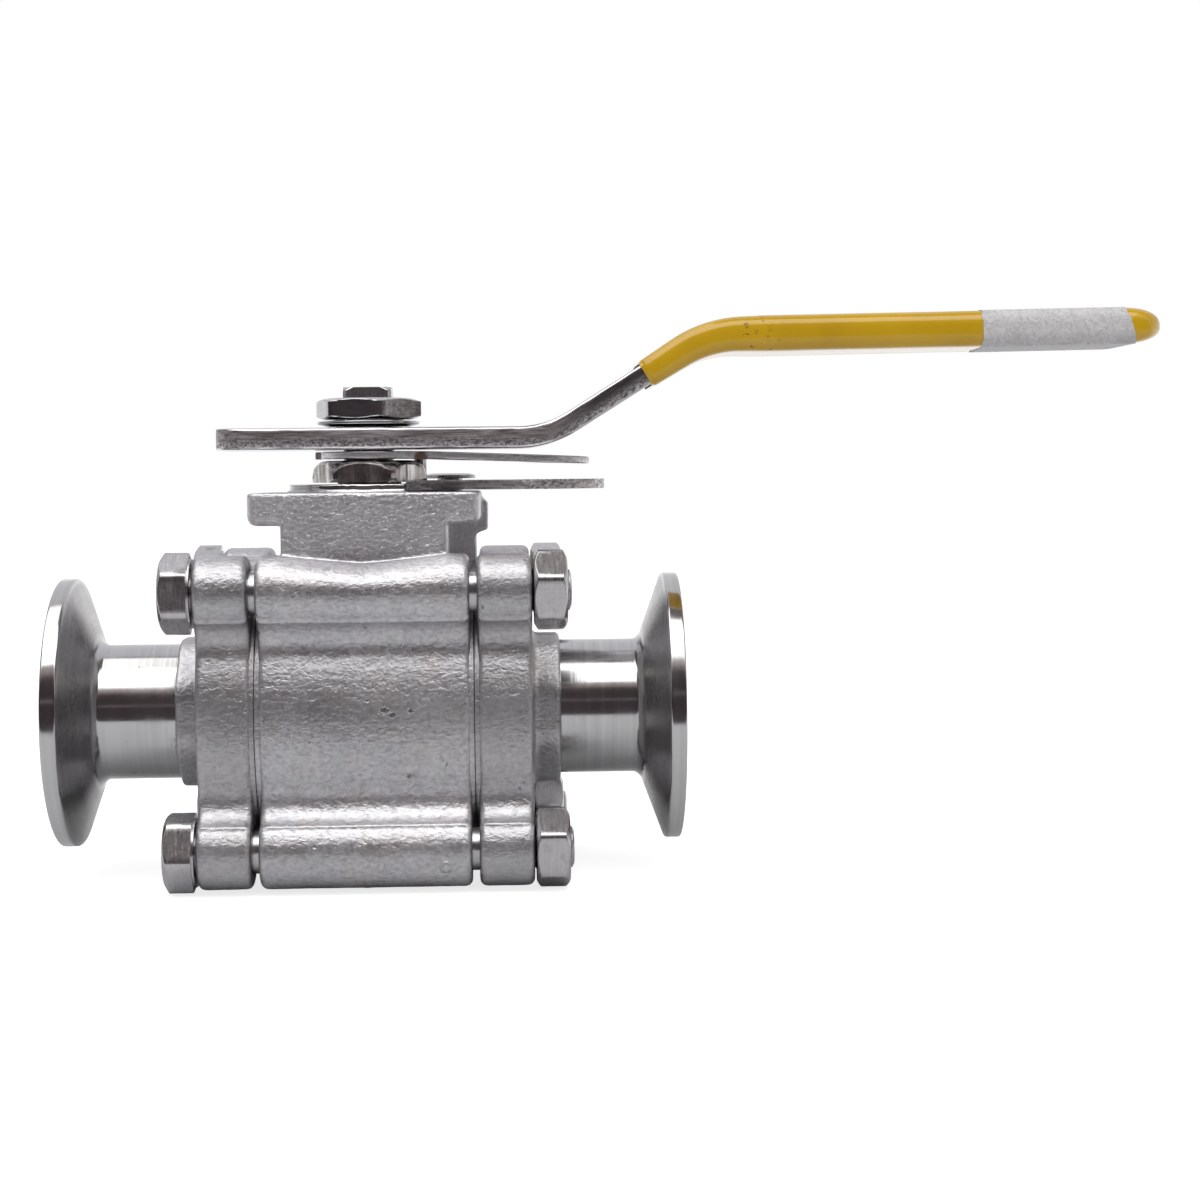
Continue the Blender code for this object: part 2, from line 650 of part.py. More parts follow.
def stem_ring(height, radius_at):
    """A ring of the stem, with points where the square's flats end."""
    corner = math.acos(STEM_SQUARE / 2 / STEM_RADIUS)
    turns = []
    for quarter in range(4):
        start = quarter * math.pi / 2
        turns += [start + a for a in (-corner, 0, corner)]
        turns += [start + a for a in spread(corner, math.pi / 2 - corner, 4)[1:-1]]
    return [(radius_at(t) * math.cos(t), radius_at(t) * math.sin(t), height) for t in turns]


def make_stem(finish, stem_axis):
    """Blow-out-proof stem: tang, inner collar, sealed shaft, and a square top."""
    shaft = STEM_RADIUS
    groove = STEM_RADIUS - 1.4 * MM
    groove_half = O_RING_RADIUS + GAP
    levels = [
        (COLLAR_BOTTOM, COLLAR_RADIUS),
        (COLLAR_TOP, COLLAR_RADIUS),
        (COLLAR_TOP, shaft),
        (O_RING_HEIGHT - groove_half, shaft),
        (O_RING_HEIGHT - groove_half, groove),
        (O_RING_HEIGHT + groove_half, groove),
        (O_RING_HEIGHT + groove_half, shaft),
        (GLAND_NUT_TOP, shaft),
    ]
    rings = [stem_ring(z, lambda t, r=r: r) for z, r in levels]
    for z, radius in (
        (GLAND_NUT_TOP, STEM_RADIUS),
        (STEM_TOP - STEM_CHAMFER, STEM_RADIUS),
        (STEM_TOP, STEM_RADIUS - STEM_CHAMFER),
    ):
        rings.append(stem_ring(z, lambda t, r=radius: squared(t, r)))
    stem = add("stem", loft(rings), finish, parent=stem_axis)
    half = SLOT_WIDTH / 2 - GAP
    tang_low = (-half, -TANG_LENGTH / 2, BALL_RADIUS - SLOT_DEPTH + GAP)
    tang = block(tang_low, (half, TANG_LENGTH / 2, COLLAR_BOTTOM + MM))
    combine(stem, tang, "UNION")
    clean(stem)


def make_stem_seals(soft, packing, metal, spring):
    """Thrust washer, O-ring, packing, gland ring and two disc springs round the stem."""
    inner = STEM_RADIUS + GAP
    low = COLLAR_TOP + GAP
    high = low + THRUST_WASHER_THICKNESS
    washer = [(low, inner), (low, COLLAR_RADIUS), (high, COLLAR_RADIUS), (high, inner)]
    add("thrust_washer", turned(washer, "Z", COARSE), soft)
    o_ring_circle = STEM_RADIUS + GAP - O_RING_RADIUS - 0.1 * MM
    section = arc((O_RING_HEIGHT, o_ring_circle), O_RING_RADIUS, 0, 2 * math.pi, 6)[:-1]
    add("stem_o_ring", turned(section, "Z", COARSE), packing)
    top = PACKING_TOP
    rise = 1.0 * MM
    middle = (inner + PACKING_RADIUS) / 2
    chevron = [
        (PACKING_BOTTOM, inner),
        (PACKING_BOTTOM, PACKING_RADIUS),
        (top - rise, PACKING_RADIUS),
        (top, middle),
        (top - rise, inner),
    ]
    add("stem_packing", turned(chevron, "Z", COARSE), soft)
    foot = PACKING_TOP + GAP
    ring = [
        (foot - rise, inner),
        (foot, middle),
        (foot - rise, PACKING_RADIUS),
        (GLAND_TOP, PACKING_RADIUS),
        (GLAND_TOP, inner),
    ]
    add("gland_ring", turned(ring, "Z", COARSE), metal)
    for name, start, lift_inner in (
        ("disc_spring_lower", LOWER_SPRING, DISC_SPRING_CONE),
        ("disc_spring_upper", UPPER_SPRING, 0),
    ):
        # The two springs lie back to back, one cone up and one cone down.
        lift_outer = DISC_SPRING_CONE - lift_inner
        outer = PACKING_RADIUS - GAP
        section = [
            (start + lift_inner, inner),
            (start + lift_outer, outer),
            (start + lift_outer + DISC_SPRING_THICKNESS, outer),
            (start + lift_inner + DISC_SPRING_THICKNESS, inner),
        ]
        add(name, turned(section, "Z", COARSE), spring)


def hex_ring(along, across_flats, limit, steps):
    """A hexagon's ring whose corners are turned down to a limiting radius."""
    ring = []
    for i in range(steps):
        turn = 2 * math.pi * i / steps
        from_flat = (turn + math.pi / 6) % (math.pi / 3) - math.pi / 6
        flat = across_flats / 2 / math.cos(from_flat)
        radius = min(flat, limit)
        ring.append((radius * math.cos(turn), radius * math.sin(turn), along))
    return ring


def round_ring(along, radius, steps):
    """A circle's ring."""
    turns = [2 * math.pi * i / steps for i in range(steps)]
    return [(radius * math.cos(t), radius * math.sin(t), along) for t in turns]


def chamfered_hexagon(low, high, across_flats, steps, both_ends):
    """Rings of a hexagon with the usual turned chamfer at one end or at both."""
    corner = across_flats / 2 / math.cos(math.pi / 6)
    start = across_flats / 2 * HEX_TOP_SHARE
    drop = (corner - start) * math.tan(HEX_CHAMFER)
    middle = (corner + across_flats / 2) / 2
    part = (middle - start) * math.tan(HEX_CHAMFER)
    upper = [
        hex_ring(high - drop, across_flats, corner, steps),
        hex_ring(high - part, across_flats, middle, steps),
        round_ring(high, start, steps),
    ]
    if not both_ends:
        return [hex_ring(low, across_flats, corner, steps)] + upper
    lower = [
        round_ring(low, start, steps),
        hex_ring(low + part, across_flats, middle, steps),
        hex_ring(low + drop, across_flats, corner, steps),
    ]
    return lower + upper


def make_gland_nut(finish, stem_axis):
    """Gland nut with its top corners turned to a dome."""
    steps = 36
    corner = GLAND_NUT_ACROSS_FLATS / 2 / math.cos(math.pi / 6)
    low, high = GLAND_NUT_BOTTOM, GLAND_NUT_TOP
    rings = [hex_ring(low, GLAND_NUT_ACROSS_FLATS, corner, steps)]
    for t in spread(0, math.pi / 2, 5):
        limit = corner - GLAND_NUT_DOME * (1 - math.cos(t))
        height = high - GLAND_NUT_DOME * (1 - math.sin(t))
        rings.append(hex_ring(height, GLAND_NUT_ACROSS_FLATS, limit, steps))
    rings += [round_ring(z, STEM_RADIUS + GAP, steps) for z in (high, low)]
    nut = loft(rings, closed=True)
    add("gland_nut", nut, finish, turn=GLAND_NUT_TURN, parent=stem_axis)


def make_stop_pin(finish):
    """Pin in the spigot, between the lock arm's edge and its stop ear."""
    low = SPIGOT_TOP - PIN_DEPTH + GAP
    high = ARM_TOP - PIN_SHY
    profile = [
        (low, PIN_RADIUS),
        (high - PIN_CHAMFER, PIN_RADIUS),
        (high, PIN_RADIUS - PIN_CHAMFER),
    ]
    pin = solid_of_revolution(profile, "Z", HEX_STEPS)
    add("stop_pin", pin, finish, place=(PIN_X, PIN_Y, 0))


def make_lock_arm(finish, stem_axis):
    """Thin arm on the stem's square. Its edge and its ear stop it at the pin, 90 degrees apart."""
    half = ARM_HALF_WIDTH
    end = ARM_REACH - half
    stations = [(-half / 2, half)] + [(x, half) for x in (ARM_HUB_RADIUS, end)]
    stations += [
        (end + half * math.sin(a), half * math.cos(a)) for a in spread(0, math.radians(80), 4)[1:]
    ]
    rings = []
    for x, width in stations:
        sag = ARM_DROOP * max(0, x - ARM_HUB_RADIUS) / (ARM_REACH - ARM_HUB_RADIUS)
        low, high = ARM_BOTTOM - sag, ARM_TOP - sag
        rings.append([(x, -width, low), (x, width, low), (x, width, high), (x, -width, high)])
    arm = add("lock_arm", loft(rings), finish, parent=stem_axis)
    combine(arm, rod("Z", ARM_HUB_RADIUS, ARM_BOTTOM, ARM_TOP, FINE), "UNION")
    ear_edge = PIN_X - PIN_RADIUS - GAP
    ear_reach = PIN_Y + PIN_RADIUS + STOP_EAR_PAST
    ear = block((-ear_reach, STOP_EAR_FOOT, ARM_BOTTOM), (-MM, ear_edge, ARM_TOP))
    combine(arm, ear, "UNION")
    cut_square(arm, ARM_BOTTOM - MM, ARM_TOP + MM)
    hole = (PADLOCK_HOLE_X, 0)
    low, high = ARM_BOTTOM - 3 * MM, ARM_TOP + MM
    combine(arm, rod("Z", PADLOCK_HOLE_RADIUS, low, high, COARSE, hole), "DIFFERENCE")
    clean(arm)


def cut_square(base, low, high):
    """The square hole that takes the stem."""
    half = STEM_SQUARE / 2 + GAP
    combine(base, block((-half, -half, low), (half, half, high)), "DIFFERENCE")


def make_lock_plate(finish):
    """Fixed plate on the pad, hollowed round the spigot, with an ear for its screw."""
    half = LOCK_PLATE_HALF_WIDTH
    around = SPIGOT_RADIUS + GAP
    lean = math.asin(half / around)
    end = LOCK_PLATE_REACH - half
    outline = arc((0, 0), around, lean, -lean, 8)
    outline += arc((end, 0), half, -math.pi / 2, math.pi / 2, 12)
    lock = add("lock_plate", plate(outline, LOCK_PLATE_BOTTOM, LOCK_PLATE_TOP), finish)
    ear_centre = (PAD_HOLE_OFFSET, PAD_HOLE_OFFSET)
    ear = arc(ear_centre, LOCK_EAR_RADIUS, -math.radians(20), math.radians(170), 9)
    root = half - LOCK_EAR_ROOT
    ear += [(PAD_HOLE_OFFSET - LOCK_EAR_ROOT, root), (PAD_HOLE_OFFSET + LOCK_EAR_HEEL, root)]
    combine(lock, plate(ear, LOCK_PLATE_BOTTOM, LOCK_PLATE_TOP), "UNION")
    low, high = LOCK_PLATE_BOTTOM - MM, LOCK_PLATE_TOP + MM
    for radius, centre in (
        (PADLOCK_HOLE_RADIUS, (PADLOCK_HOLE_X, 0)),
        (PAD_HOLE_RADIUS, ear_centre),
    ):
        combine(lock, rod("Z", radius, low, high, COARSE, centre), "DIFFERENCE")
    clean(lock)


def make_lock_screw(finish):
    """Low-head screw that holds the lock plate to the pad."""
    head_low = LOCK_PLATE_TOP + GAP
    head_high = head_low + LOCK_SCREW_HEAD_HEIGHT
    profile = [
        (head_low - LOCK_SCREW_LENGTH, LOCK_SCREW_RADIUS),
        (head_low, LOCK_SCREW_RADIUS),
        (head_low, LOCK_SCREW_HEAD_RADIUS),
        (head_high - LOCK_SCREW_EDGE, LOCK_SCREW_HEAD_RADIUS),
        (head_high, LOCK_SCREW_HEAD_RADIUS - LOCK_SCREW_CROWN),
    ]
    screw = solid_of_revolution(profile, "Z", COARSE)
    add("lock_plate_screw", screw, finish, place=(PAD_HOLE_OFFSET, PAD_HOLE_OFFSET, 0))


def lever_route():
    """The strip's middle line from its tail, as lengths and the turn that each one makes."""
    lower = LEVER_LOWER_BEND * math.tan(LEVER_SLOPE / 2)
    turn_back = LEVER_SLOPE - LEVER_GRIP_SLOPE
    upper = LEVER_UPPER_BEND * math.tan(turn_back / 2)
    return [
        (LEVER_TAIL + LEVER_BEND_X - lower, 0),
        (LEVER_LOWER_BEND * LEVER_SLOPE, LEVER_SLOPE),
        (LEVER_RISE - lower - upper, 0),
        (LEVER_UPPER_BEND * turn_back, -turn_back),
        (LEVER_GRIP - upper, 0),
    ]


def follow(distance):
    """Where the lever's middle line is after a distance: X, Z and heading."""
    x, z, heading = -LEVER_TAIL, LEVER_BOTTOM + LEVER_THICKNESS / 2, 0
    route = lever_route()
    for index, (length, turn) in enumerate(route):
        last = index == len(route) - 1
        part = distance if last else min(distance, length)
        if turn:
            radius = length / turn
            ahead = heading + turn * part / length
            x += radius * (math.sin(ahead) - math.sin(heading))
            z += radius * (math.cos(heading) - math.cos(ahead))
            heading = ahead
        else:
            x += part * math.cos(heading)
            z += part * math.sin(heading)
        distance -= part
        if distance <= 0:
            break
    return x, z, heading


def strip_ring(distance, half_width, half_height, corner, steps):
    """A section ring across the lever at a distance along it."""
    x, z, heading = follow(distance)
    section = rounded_rectangle(half_width, half_height, corner, steps)
    return [
        (x - up * math.sin(heading), side, z + up * math.cos(heading)) for side, up in section
    ]


def lever_length():
    """Length of the strip along its middle line."""
    return sum(length for length, turn in lever_route())


def lever_half_width(distance):
    """Half the strip's width, with a smooth taper from hub to grip and round ends."""
    share = (distance - LEVER_TAPER_START) / (LEVER_TAPER_END - LEVER_TAPER_START)
    share = min(max(share, 0), 1)
    ease = share * share * (3 - 2 * share)
    width = LEVER_HUB_WIDTH / 2 + (LEVER_GRIP_WIDTH - LEVER_HUB_WIDTH) / 2 * ease
    to_end = min(distance, lever_length() - distance)
    if to_end < LEVER_CORNER:
        width -= LEVER_CORNER - math.sqrt(LEVER_CORNER**2 - (LEVER_CORNER - to_end) ** 2)
    return width


def lever_stations():
    """Distances along the strip at which its form changes."""
    route = lever_route()
    marks = [0]
    for length, turn in route:
        start = marks[-1]
        steps = 5 if turn else 1
        marks += [start + length * i / steps for i in range(1, steps + 1)]
    marks += spread(LEVER_TAPER_START, LEVER_TAPER_END, 5)
    end = lever_length()
    for share in (0.0, 0.08, 0.3, 0.6, 1.0):
        marks += [LEVER_CORNER * share, end - LEVER_CORNER * share]
    return sorted({min(max(round(mark, 7), 0), end) for mark in marks})


def make_lever(finish, stem_axis):
    """Bent strip with a square hole for the stem."""
    half = LEVER_THICKNESS / 2
    rings = [
        strip_ring(s, lever_half_width(s), half, LEVER_EDGE, 2) for s in lever_stations()
    ]
    lever = add("lever", loft(rings), finish, parent=stem_axis)
    cut_square(lever, LEVER_BOTTOM - MM, LEVER_TOP + MM)
    clean(lever)


def sleeve_half_height(along):
    """Half the sleeve's outer height at a distance from its mouth."""
    share = min(along / SLEEVE_FULL_AT, 1)
    return (SLEEVE_MOUTH_HEIGHT + (SLEEVE_HEIGHT - SLEEVE_MOUTH_HEIGHT) * share) / 2


def sleeve_ring(distance, side, height):
    """A section ring of the sleeve's outside."""
    return strip_ring(distance, side, height, height * SLEEVE_ROUNDNESS, 2)


def make_sleeve(finish, stem_axis):
    """Dipped sleeve: a skin over the grip, open at its mouth."""
    half = LEVER_THICKNESS / 2 + GAP
    end = lever_length()
    marks = [s for s in lever_stations() if s > SLEEVE_START + MM]
    inner = []
    outer = []
    for s in [SLEEVE_START] + marks:
        side = lever_half_width(s)
        inner.append(strip_ring(s, side + GAP, half, LEVER_EDGE + GAP, 2))
    inner.append(strip_ring(end + GAP, lever_half_width(end) + GAP, half, LEVER_EDGE + GAP, 2))
    tip = end + SLEEVE_TIP
    plain = [s for s in marks if s < tip - SLEEVE_NOSE - MM]
    for s in [SLEEVE_START, SLEEVE_START + SLEEVE_LIP] + plain:
        height = sleeve_half_height(s - SLEEVE_START) - (SLEEVE_LIP_CUT if s == SLEEVE_START else 0)
        side = LEVER_GRIP_WIDTH / 2 + height - LEVER_THICKNESS / 2
        outer.append(sleeve_ring(s, side, height))
    half_height = SLEEVE_HEIGHT / 2
    half_width = LEVER_GRIP_WIDTH / 2 + half_height - LEVER_THICKNESS / 2
    for t in spread(0, math.radians(84), 6):
        s = tip - SLEEVE_NOSE * (1 - math.sin(t))
        side = half_width - SLEEVE_NOSE * (1 - math.cos(t))
        outer.append(sleeve_ring(s, side, half_height * math.cos(t)))
    add("lever_sleeve", loft(inner[::-1] + outer), finish, parent=stem_axis)


def make_lever_fastening(finish, stem_axis):
    """Dished washer and thin nut on the stem, over the lever."""
    inner = STEM_RADIUS + GAP
    low, high = WASHER_BOTTOM, WASHER_BOTTOM + WASHER_HEIGHT
    profile = [
        (low, inner),
        (low, WASHER_FOOT_RADIUS),
        (low + WASHER_DISH, WASHER_RADIUS),
        (high, WASHER_RADIUS),
        (high, inner),
    ]
    add("lever_washer", turned(profile, "Z", MEDIUM), finish, parent=stem_axis)
    steps = 24
    low, high = LEVER_NUT_BOTTOM, LEVER_NUT_BOTTOM + LEVER_NUT_HEIGHT
    rings = chamfered_hexagon(low, high, LEVER_NUT_ACROSS_FLATS, steps, both_ends=True)
    rings += [round_ring(z, inner, steps) for z in (high, low)]
    nut = loft(rings, closed=True)
    add("lever_nut", nut, finish, turn=LEVER_NUT_TURN, parent=stem_axis)


def lay_along_x(mesh, direction):
    """Turn a mesh drawn up Z so that it points along X, with a flat of its hexagon to -Y."""
    mesh.transform(Matrix.Rotation(math.pi / 6, 4, "Z"))
    mesh.transform(Matrix.Rotation(direction * math.pi / 2, 4, "Y"))


def make_body_bolts(bolt_finish, nut_finish):
    """Four bolts through caps and body, heads to the left, and their nuts."""
    steps = HEX_STEPS
    shank_end = BOLT_HEAD_FACE + BOLT_NUT_HEIGHT + BOLT_END_PROUD
    head_low = BOLT_HEAD_FACE + BOLT_WASHER_FACE
    head_high = BOLT_HEAD_FACE + BOLT_HEAD_HEIGHT
    collar = BOLT_ACROSS_FLATS / 2 * BOLT_COLLAR_SHARE
    rings = [
        round_ring(-shank_end, BOLT_RADIUS - BOLT_END_CHAMFER, steps),
        round_ring(-shank_end + BOLT_END_CHAMFER, BOLT_RADIUS, steps),
        round_ring(BOLT_HEAD_FACE, BOLT_RADIUS, steps),
        round_ring(BOLT_HEAD_FACE, collar, steps),
        round_ring(head_low, collar, steps),
    ]
    rings += chamfered_hexagon(head_low, head_high, BOLT_ACROSS_FLATS, steps, both_ends=False)
    bolt = loft(rings)
    lay_along_x(bolt, -1)
    low, high = BOLT_HEAD_FACE, BOLT_HEAD_FACE + BOLT_NUT_HEIGHT
    rings = chamfered_hexagon(low, high, BOLT_ACROSS_FLATS, steps, both_ends=True)
    rings += [round_ring(z, BOLT_HOLE_RADIUS, steps) for z in (high, low)]
    nut = loft(rings, closed=True)
    lay_along_x(nut, 1)
    for where, (y, z) in bolt_places().items():
        head_roll = math.radians(HEAD_ROLLS[where])
        nut_roll = math.radians(NUT_ROLLS[where])
        add(f"body_bolt_{where}", bolt, bolt_finish, place=(0, y, z), roll=head_roll)
        add(f"body_nut_{where}", nut, nut_finish, place=(0, y, z), roll=nut_roll)


def main():
    for old in list(bpy.data.objects):
        bpy.data.objects.remove(old, do_unlink=True)
    cast = material("cast_stainless", (0.56, 0.56, 0.58), 1.0, 0.42)
    machined = material("machined_stainless", (0.62, 0.62, 0.63), 1.0, 0.28)
    polished = material("polished_stainless", (0.66, 0.66, 0.67), 1.0, 0.15)
    plated = material("plated_steel", (0.60, 0.58, 0.58), 1.0, 0.22)
    burnished = material("burnished_steel", (0.30, 0.27, 0.25), 1.0, 0.30)
    seat_white = material("seat_ptfe", (0.86, 0.86, 0.84), 0.0, 0.50)
    rubber = material("o_ring_rubber", (0.03, 0.03, 0.03), 0.0, 0.70)
    vinyl = material("yellow_vinyl", (0.80, 0.55, 0.03), 0.0, 0.25)

    stem_axis = bpy.data.objects.new("stem_axis", None)
    bpy.context.scene.collection.objects.link(stem_axis)

    make_body(cast)
    make_end_caps(cast)
    make_ferrules(polished)
    make_ball(polished, stem_axis)
    make_seats(seat_white)
    make_joint_gaskets(seat_white)
    make_stem(machined, stem_axis)
    make_stem_seals(seat_white, rubber, machined, burnished)
    make_gland_nut(burnished, stem_axis)
    make_stop_pin(burnished)
    make_lock_arm(plated, stem_axis)
    make_lock_plate(plated)
    make_lock_screw(machined)
    make_lever(plated, stem_axis)
    make_sleeve(vinyl, stem_axis)
    make_lever_fastening(plated, stem_axis)
    make_body_bolts(machined, machined)


main()
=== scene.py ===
"""Looks of the three-piece ball valve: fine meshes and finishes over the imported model.

Lengths are in metres. The flow axis is X, the stem axis is Z, and -Y faces the viewer.
"""

import json
from math import acos, asin, atan, cos, exp, pi, radians, sin, sqrt, tan

import bmesh
import bpy
from mathutils import Matrix, Vector, noise

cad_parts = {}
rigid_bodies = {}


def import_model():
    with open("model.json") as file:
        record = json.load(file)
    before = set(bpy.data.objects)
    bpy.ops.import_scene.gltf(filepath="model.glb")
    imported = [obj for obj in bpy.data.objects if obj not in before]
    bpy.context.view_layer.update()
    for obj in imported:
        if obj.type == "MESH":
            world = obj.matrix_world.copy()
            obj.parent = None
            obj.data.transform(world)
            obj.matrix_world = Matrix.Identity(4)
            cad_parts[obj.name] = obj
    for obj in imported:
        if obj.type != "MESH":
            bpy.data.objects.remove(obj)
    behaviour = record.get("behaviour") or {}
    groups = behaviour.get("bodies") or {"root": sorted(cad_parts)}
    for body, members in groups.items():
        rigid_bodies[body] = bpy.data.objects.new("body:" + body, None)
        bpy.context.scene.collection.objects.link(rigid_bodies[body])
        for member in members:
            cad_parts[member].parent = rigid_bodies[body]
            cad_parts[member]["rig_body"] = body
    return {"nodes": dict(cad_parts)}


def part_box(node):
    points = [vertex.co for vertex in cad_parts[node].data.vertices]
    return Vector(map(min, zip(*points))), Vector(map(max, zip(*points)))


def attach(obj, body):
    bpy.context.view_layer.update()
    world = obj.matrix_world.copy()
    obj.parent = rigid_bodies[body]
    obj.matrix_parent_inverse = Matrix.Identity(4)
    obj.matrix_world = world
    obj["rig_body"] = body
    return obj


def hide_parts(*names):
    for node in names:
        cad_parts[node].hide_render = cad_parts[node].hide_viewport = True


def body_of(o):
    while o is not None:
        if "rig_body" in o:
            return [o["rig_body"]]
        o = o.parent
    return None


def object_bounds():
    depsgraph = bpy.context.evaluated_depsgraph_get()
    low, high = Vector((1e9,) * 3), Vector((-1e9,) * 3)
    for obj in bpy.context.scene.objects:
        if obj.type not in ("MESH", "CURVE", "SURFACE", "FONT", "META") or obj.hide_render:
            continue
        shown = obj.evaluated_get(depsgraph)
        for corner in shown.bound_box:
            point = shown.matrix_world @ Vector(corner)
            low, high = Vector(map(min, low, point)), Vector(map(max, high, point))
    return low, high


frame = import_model()
CAD_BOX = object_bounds()

MM = 0.001


def mm(*lengths):
    """Lengths in millimetres, as metres."""
    return tuple(length * MM for length in lengths)


FIT = 0.15 * MM
GAP = 0.3 * MM

# Cast section shared by the centre body and the two end caps
BOLT_OFFSET = 23.3 * MM
LOBE_RADIUS = 6.8 * MM
BULGE_RADIUS = 27.5 * MM
BLEND_RADIUS = 5.0 * MM
CAST_EDGE = 1.3 * MM
RIM_RADIUS = 22.0 * MM
STEP_RADIUS = 26.9 * MM
STEP_CLOSER = 0.11 * MM
STEP_EDGE = 0.14 * MM
RIM_HEIGHT = 0.5 * MM
CAVITY_RADIUS = 18.3 * MM
BOLT_HOLE_RADIUS = 4.3 * MM
BOSS_FLATS = 27.8 * MM
BOSS_FILLET = 1.2 * MM
BOSS_CORNER = 3.2 * MM
BOSS_CHAMFER = 0.4 * MM
CAP_FLANGE = 9.9 * MM

# Skin of the castings
VOXEL = 0.32 * MM
WAVINESS = 0.035 * MM
WAVE_LENGTH = 11.0 * MM
PEEL = 0.022 * MM
PEEL_LENGTH = 1.7 * MM
SEAM_HEIGHT = 0.10 * MM
SEAM_WIDTH = 0.45 * MM

# Pad, neck and feeder stub of the body
PAD_WIDTH = 42.0 * MM
PAD_THICKNESS = 5.9 * MM
PAD_CORNER = 2.0 * MM
PAD_LOWER_EDGE = 1.5 * MM
PAD_UPPER_EDGE = 0.3 * MM
PAD_HOLE_OFFSET = 14.85 * MM
PAD_HOLE_RADIUS = 2.75 * MM
PAD_HOLE_DEPTH = 9.0 * MM
SPIGOT_RADIUS = 15.0 * MM
SPIGOT_HEIGHT = 1.5 * MM
NECK_WIDTH = 30.0 * MM
NECK_FOOT = 24.0 * MM
LOBE_DIP = 1.7 * MM
FEEDER_FOOT = 20.0 * MM
FEEDER_DROP = 0.8 * MM
FEEDER_Y = mm(1.0, 11.0)
FEEDER_Z = mm(33.0, 39.8)
STEM_BORE = 9.0 * MM
PIN_RADIUS = 1.3 * MM

# Flow line
TUBE_RADIUS = 12.7 * MM
BORE_RADIUS = 11.05 * MM
FERRULE_RIM = 2.85 * MM
FERRULE_CONE = radians(20)
GROOVE_RADIUS = 21.8 * MM
GROOVE_HALF_WIDTH = 1.6 * MM
GROOVE_DEPTH = 1.3 * MM
FERRULE_EDGE = 0.45 * MM
POLISHED_RIM = mm(24.2, 25.0)
BALL_SLOT_HALF = 3.3 * MM
BALL_SLOT_DEPTH = 4.0 * MM
SOCKET_DEPTH = 8.5 * MM

# Stem and what turns with it
STEM_RADIUS = 6.0 * MM
STEM_SQUARE = 9.0 * MM
STEM_CHAMFER = 0.8 * MM
COLLAR_RADIUS = 9.0 * MM
COLLAR_Z = mm(18.6, 21.2)
TANG_HALF = mm(3.0, 5.5)
GLAND_NUT_FLATS = 19.0 * MM
GLAND_NUT_DOME = mm(2.9, 3.3)
GLAND_NUT_TURN = radians(25)
LEVER_NUT_FLATS = 18.0 * MM
LEVER_NUT_TURN = radians(17)
LEVER_NUT_CHAMFER = radians(19)
WASHER_FOOT_RADIUS = 7.7 * MM
WASHER_DISH = 0.5 * MM
ARM_THICKNESS = 1.4 * MM
ARM_HUB_RADIUS = 9.0 * MM
ARM_STRAIGHT_FROM = 12 * MM
STOP_EAR_FOOT = 3.0 * MM
PADLOCK_HOLE_X = 32.5 * MM
PADLOCK_HOLE_RADIUS = 4.0 * MM
LOCK_EAR_RADIUS = 5.6 * MM
LOCK_EAR_FOOT = mm(-2, 7)
SCREW_RADIUS = 2.45 * MM
SCREW_HEAD_RADIUS = 5.0 * MM

# Lever: a bent strip, with a dipped sleeve over its grip
LEVER_THICKNESS = 4.0 * MM
LEVER_BEND_X = 33.6 * MM
LEVER_SLOPE = radians(31.9)
LEVER_RISE = 35.4 * MM
LEVER_GRIP_SLOPE = radians(0.85)
LEVER_GRIP = 82.7 * MM
LEVER_LOWER_BEND = 20.0 * MM
LEVER_UPPER_BEND = 22.0 * MM
LEVER_HUB_WIDTH = 26.0 * MM
LEVER_GRIP_WIDTH = 20.0 * MM
LEVER_TAPER = mm(43.0, 68.0)
LEVER_CORNER = 6.0 * MM
LEVER_EDGE = 0.7 * MM
SLEEVE_START = 82.6 * MM
SLEEVE_MOUTH_HEIGHT = 5.7 * MM
SLEEVE_HEIGHT = 7.0 * MM
SLEEVE_FULL_AT = 24.0 * MM
SLEEVE_ROUNDNESS = 0.8
SLEEVE_TIP = 3.47 * MM
SLEEVE_NOSE = 8.0 * MM
LABEL_X = mm(114.7, 142.8)
LABEL_THICKNESS = 0.12 * MM

# Marks on the finishes. Pits, rust and grime are given by their place and reach
RING_PLACE = mm(14.3, -29.4, -25.6)
RING_RADIUS = 0.95 * MM
RING_EDGE = mm(0.10, 0.28)
RING_HEIGHT = 0.16 * MM
PITS = (
    (mm(3.6, -27.4, 2.3), 0.85 * MM),
    (mm(5.1, -27.4, 1.5), 0.60 * MM),
    (mm(8.2, -27.4, 2.2), 0.50 * MM),
    (mm(13.7, -26.4, -6.4), 0.40 * MM),
    (mm(14.5, -26.2, -7.6), 0.30 * MM),
)
NECK_SKIN_AND_LIGHT = mm(28.0, 31.5)
RUST_PLACE = mm(10.0, -8.0, 47.3)
RUST_REACH = mm(1.2, 1.8)
GRIME = (
    (mm(51.8, -10.0, 63.5), 2.6 * MM),
    (mm(54.0, -10.0, 68.0), 2.4 * MM),
    (mm(71.0, -11.5, 72.0), 3.4 * MM),
)

# Body bolts and nuts
BOLT_RADIUS = 3.95 * MM
BOLT_FLATS = 13.0 * MM
BOLT_HEAD_HEIGHT = 5.6 * MM
BOLT_WASHER_FACE = 0.4 * MM
THREAD_PITCH = 1.25 * MM
THREAD_DEPTH = 0.55 * MM
THREADED = 12 * MM
HEX_CHAMFER = radians(32)
HEX_CORNER = 0.12 * MM
HEX_FACE = 0.95
HEX_EDGE = mm(0.25, 0.08)
HEAD_ROLLS = {"front_upper": 0, "front_lower": -21, "rear_upper": -7, "rear_lower": 11}
NUT_ROLLS = {"front_upper": 10, "front_lower": 5, "rear_upper": -14, "rear_lower": 22}

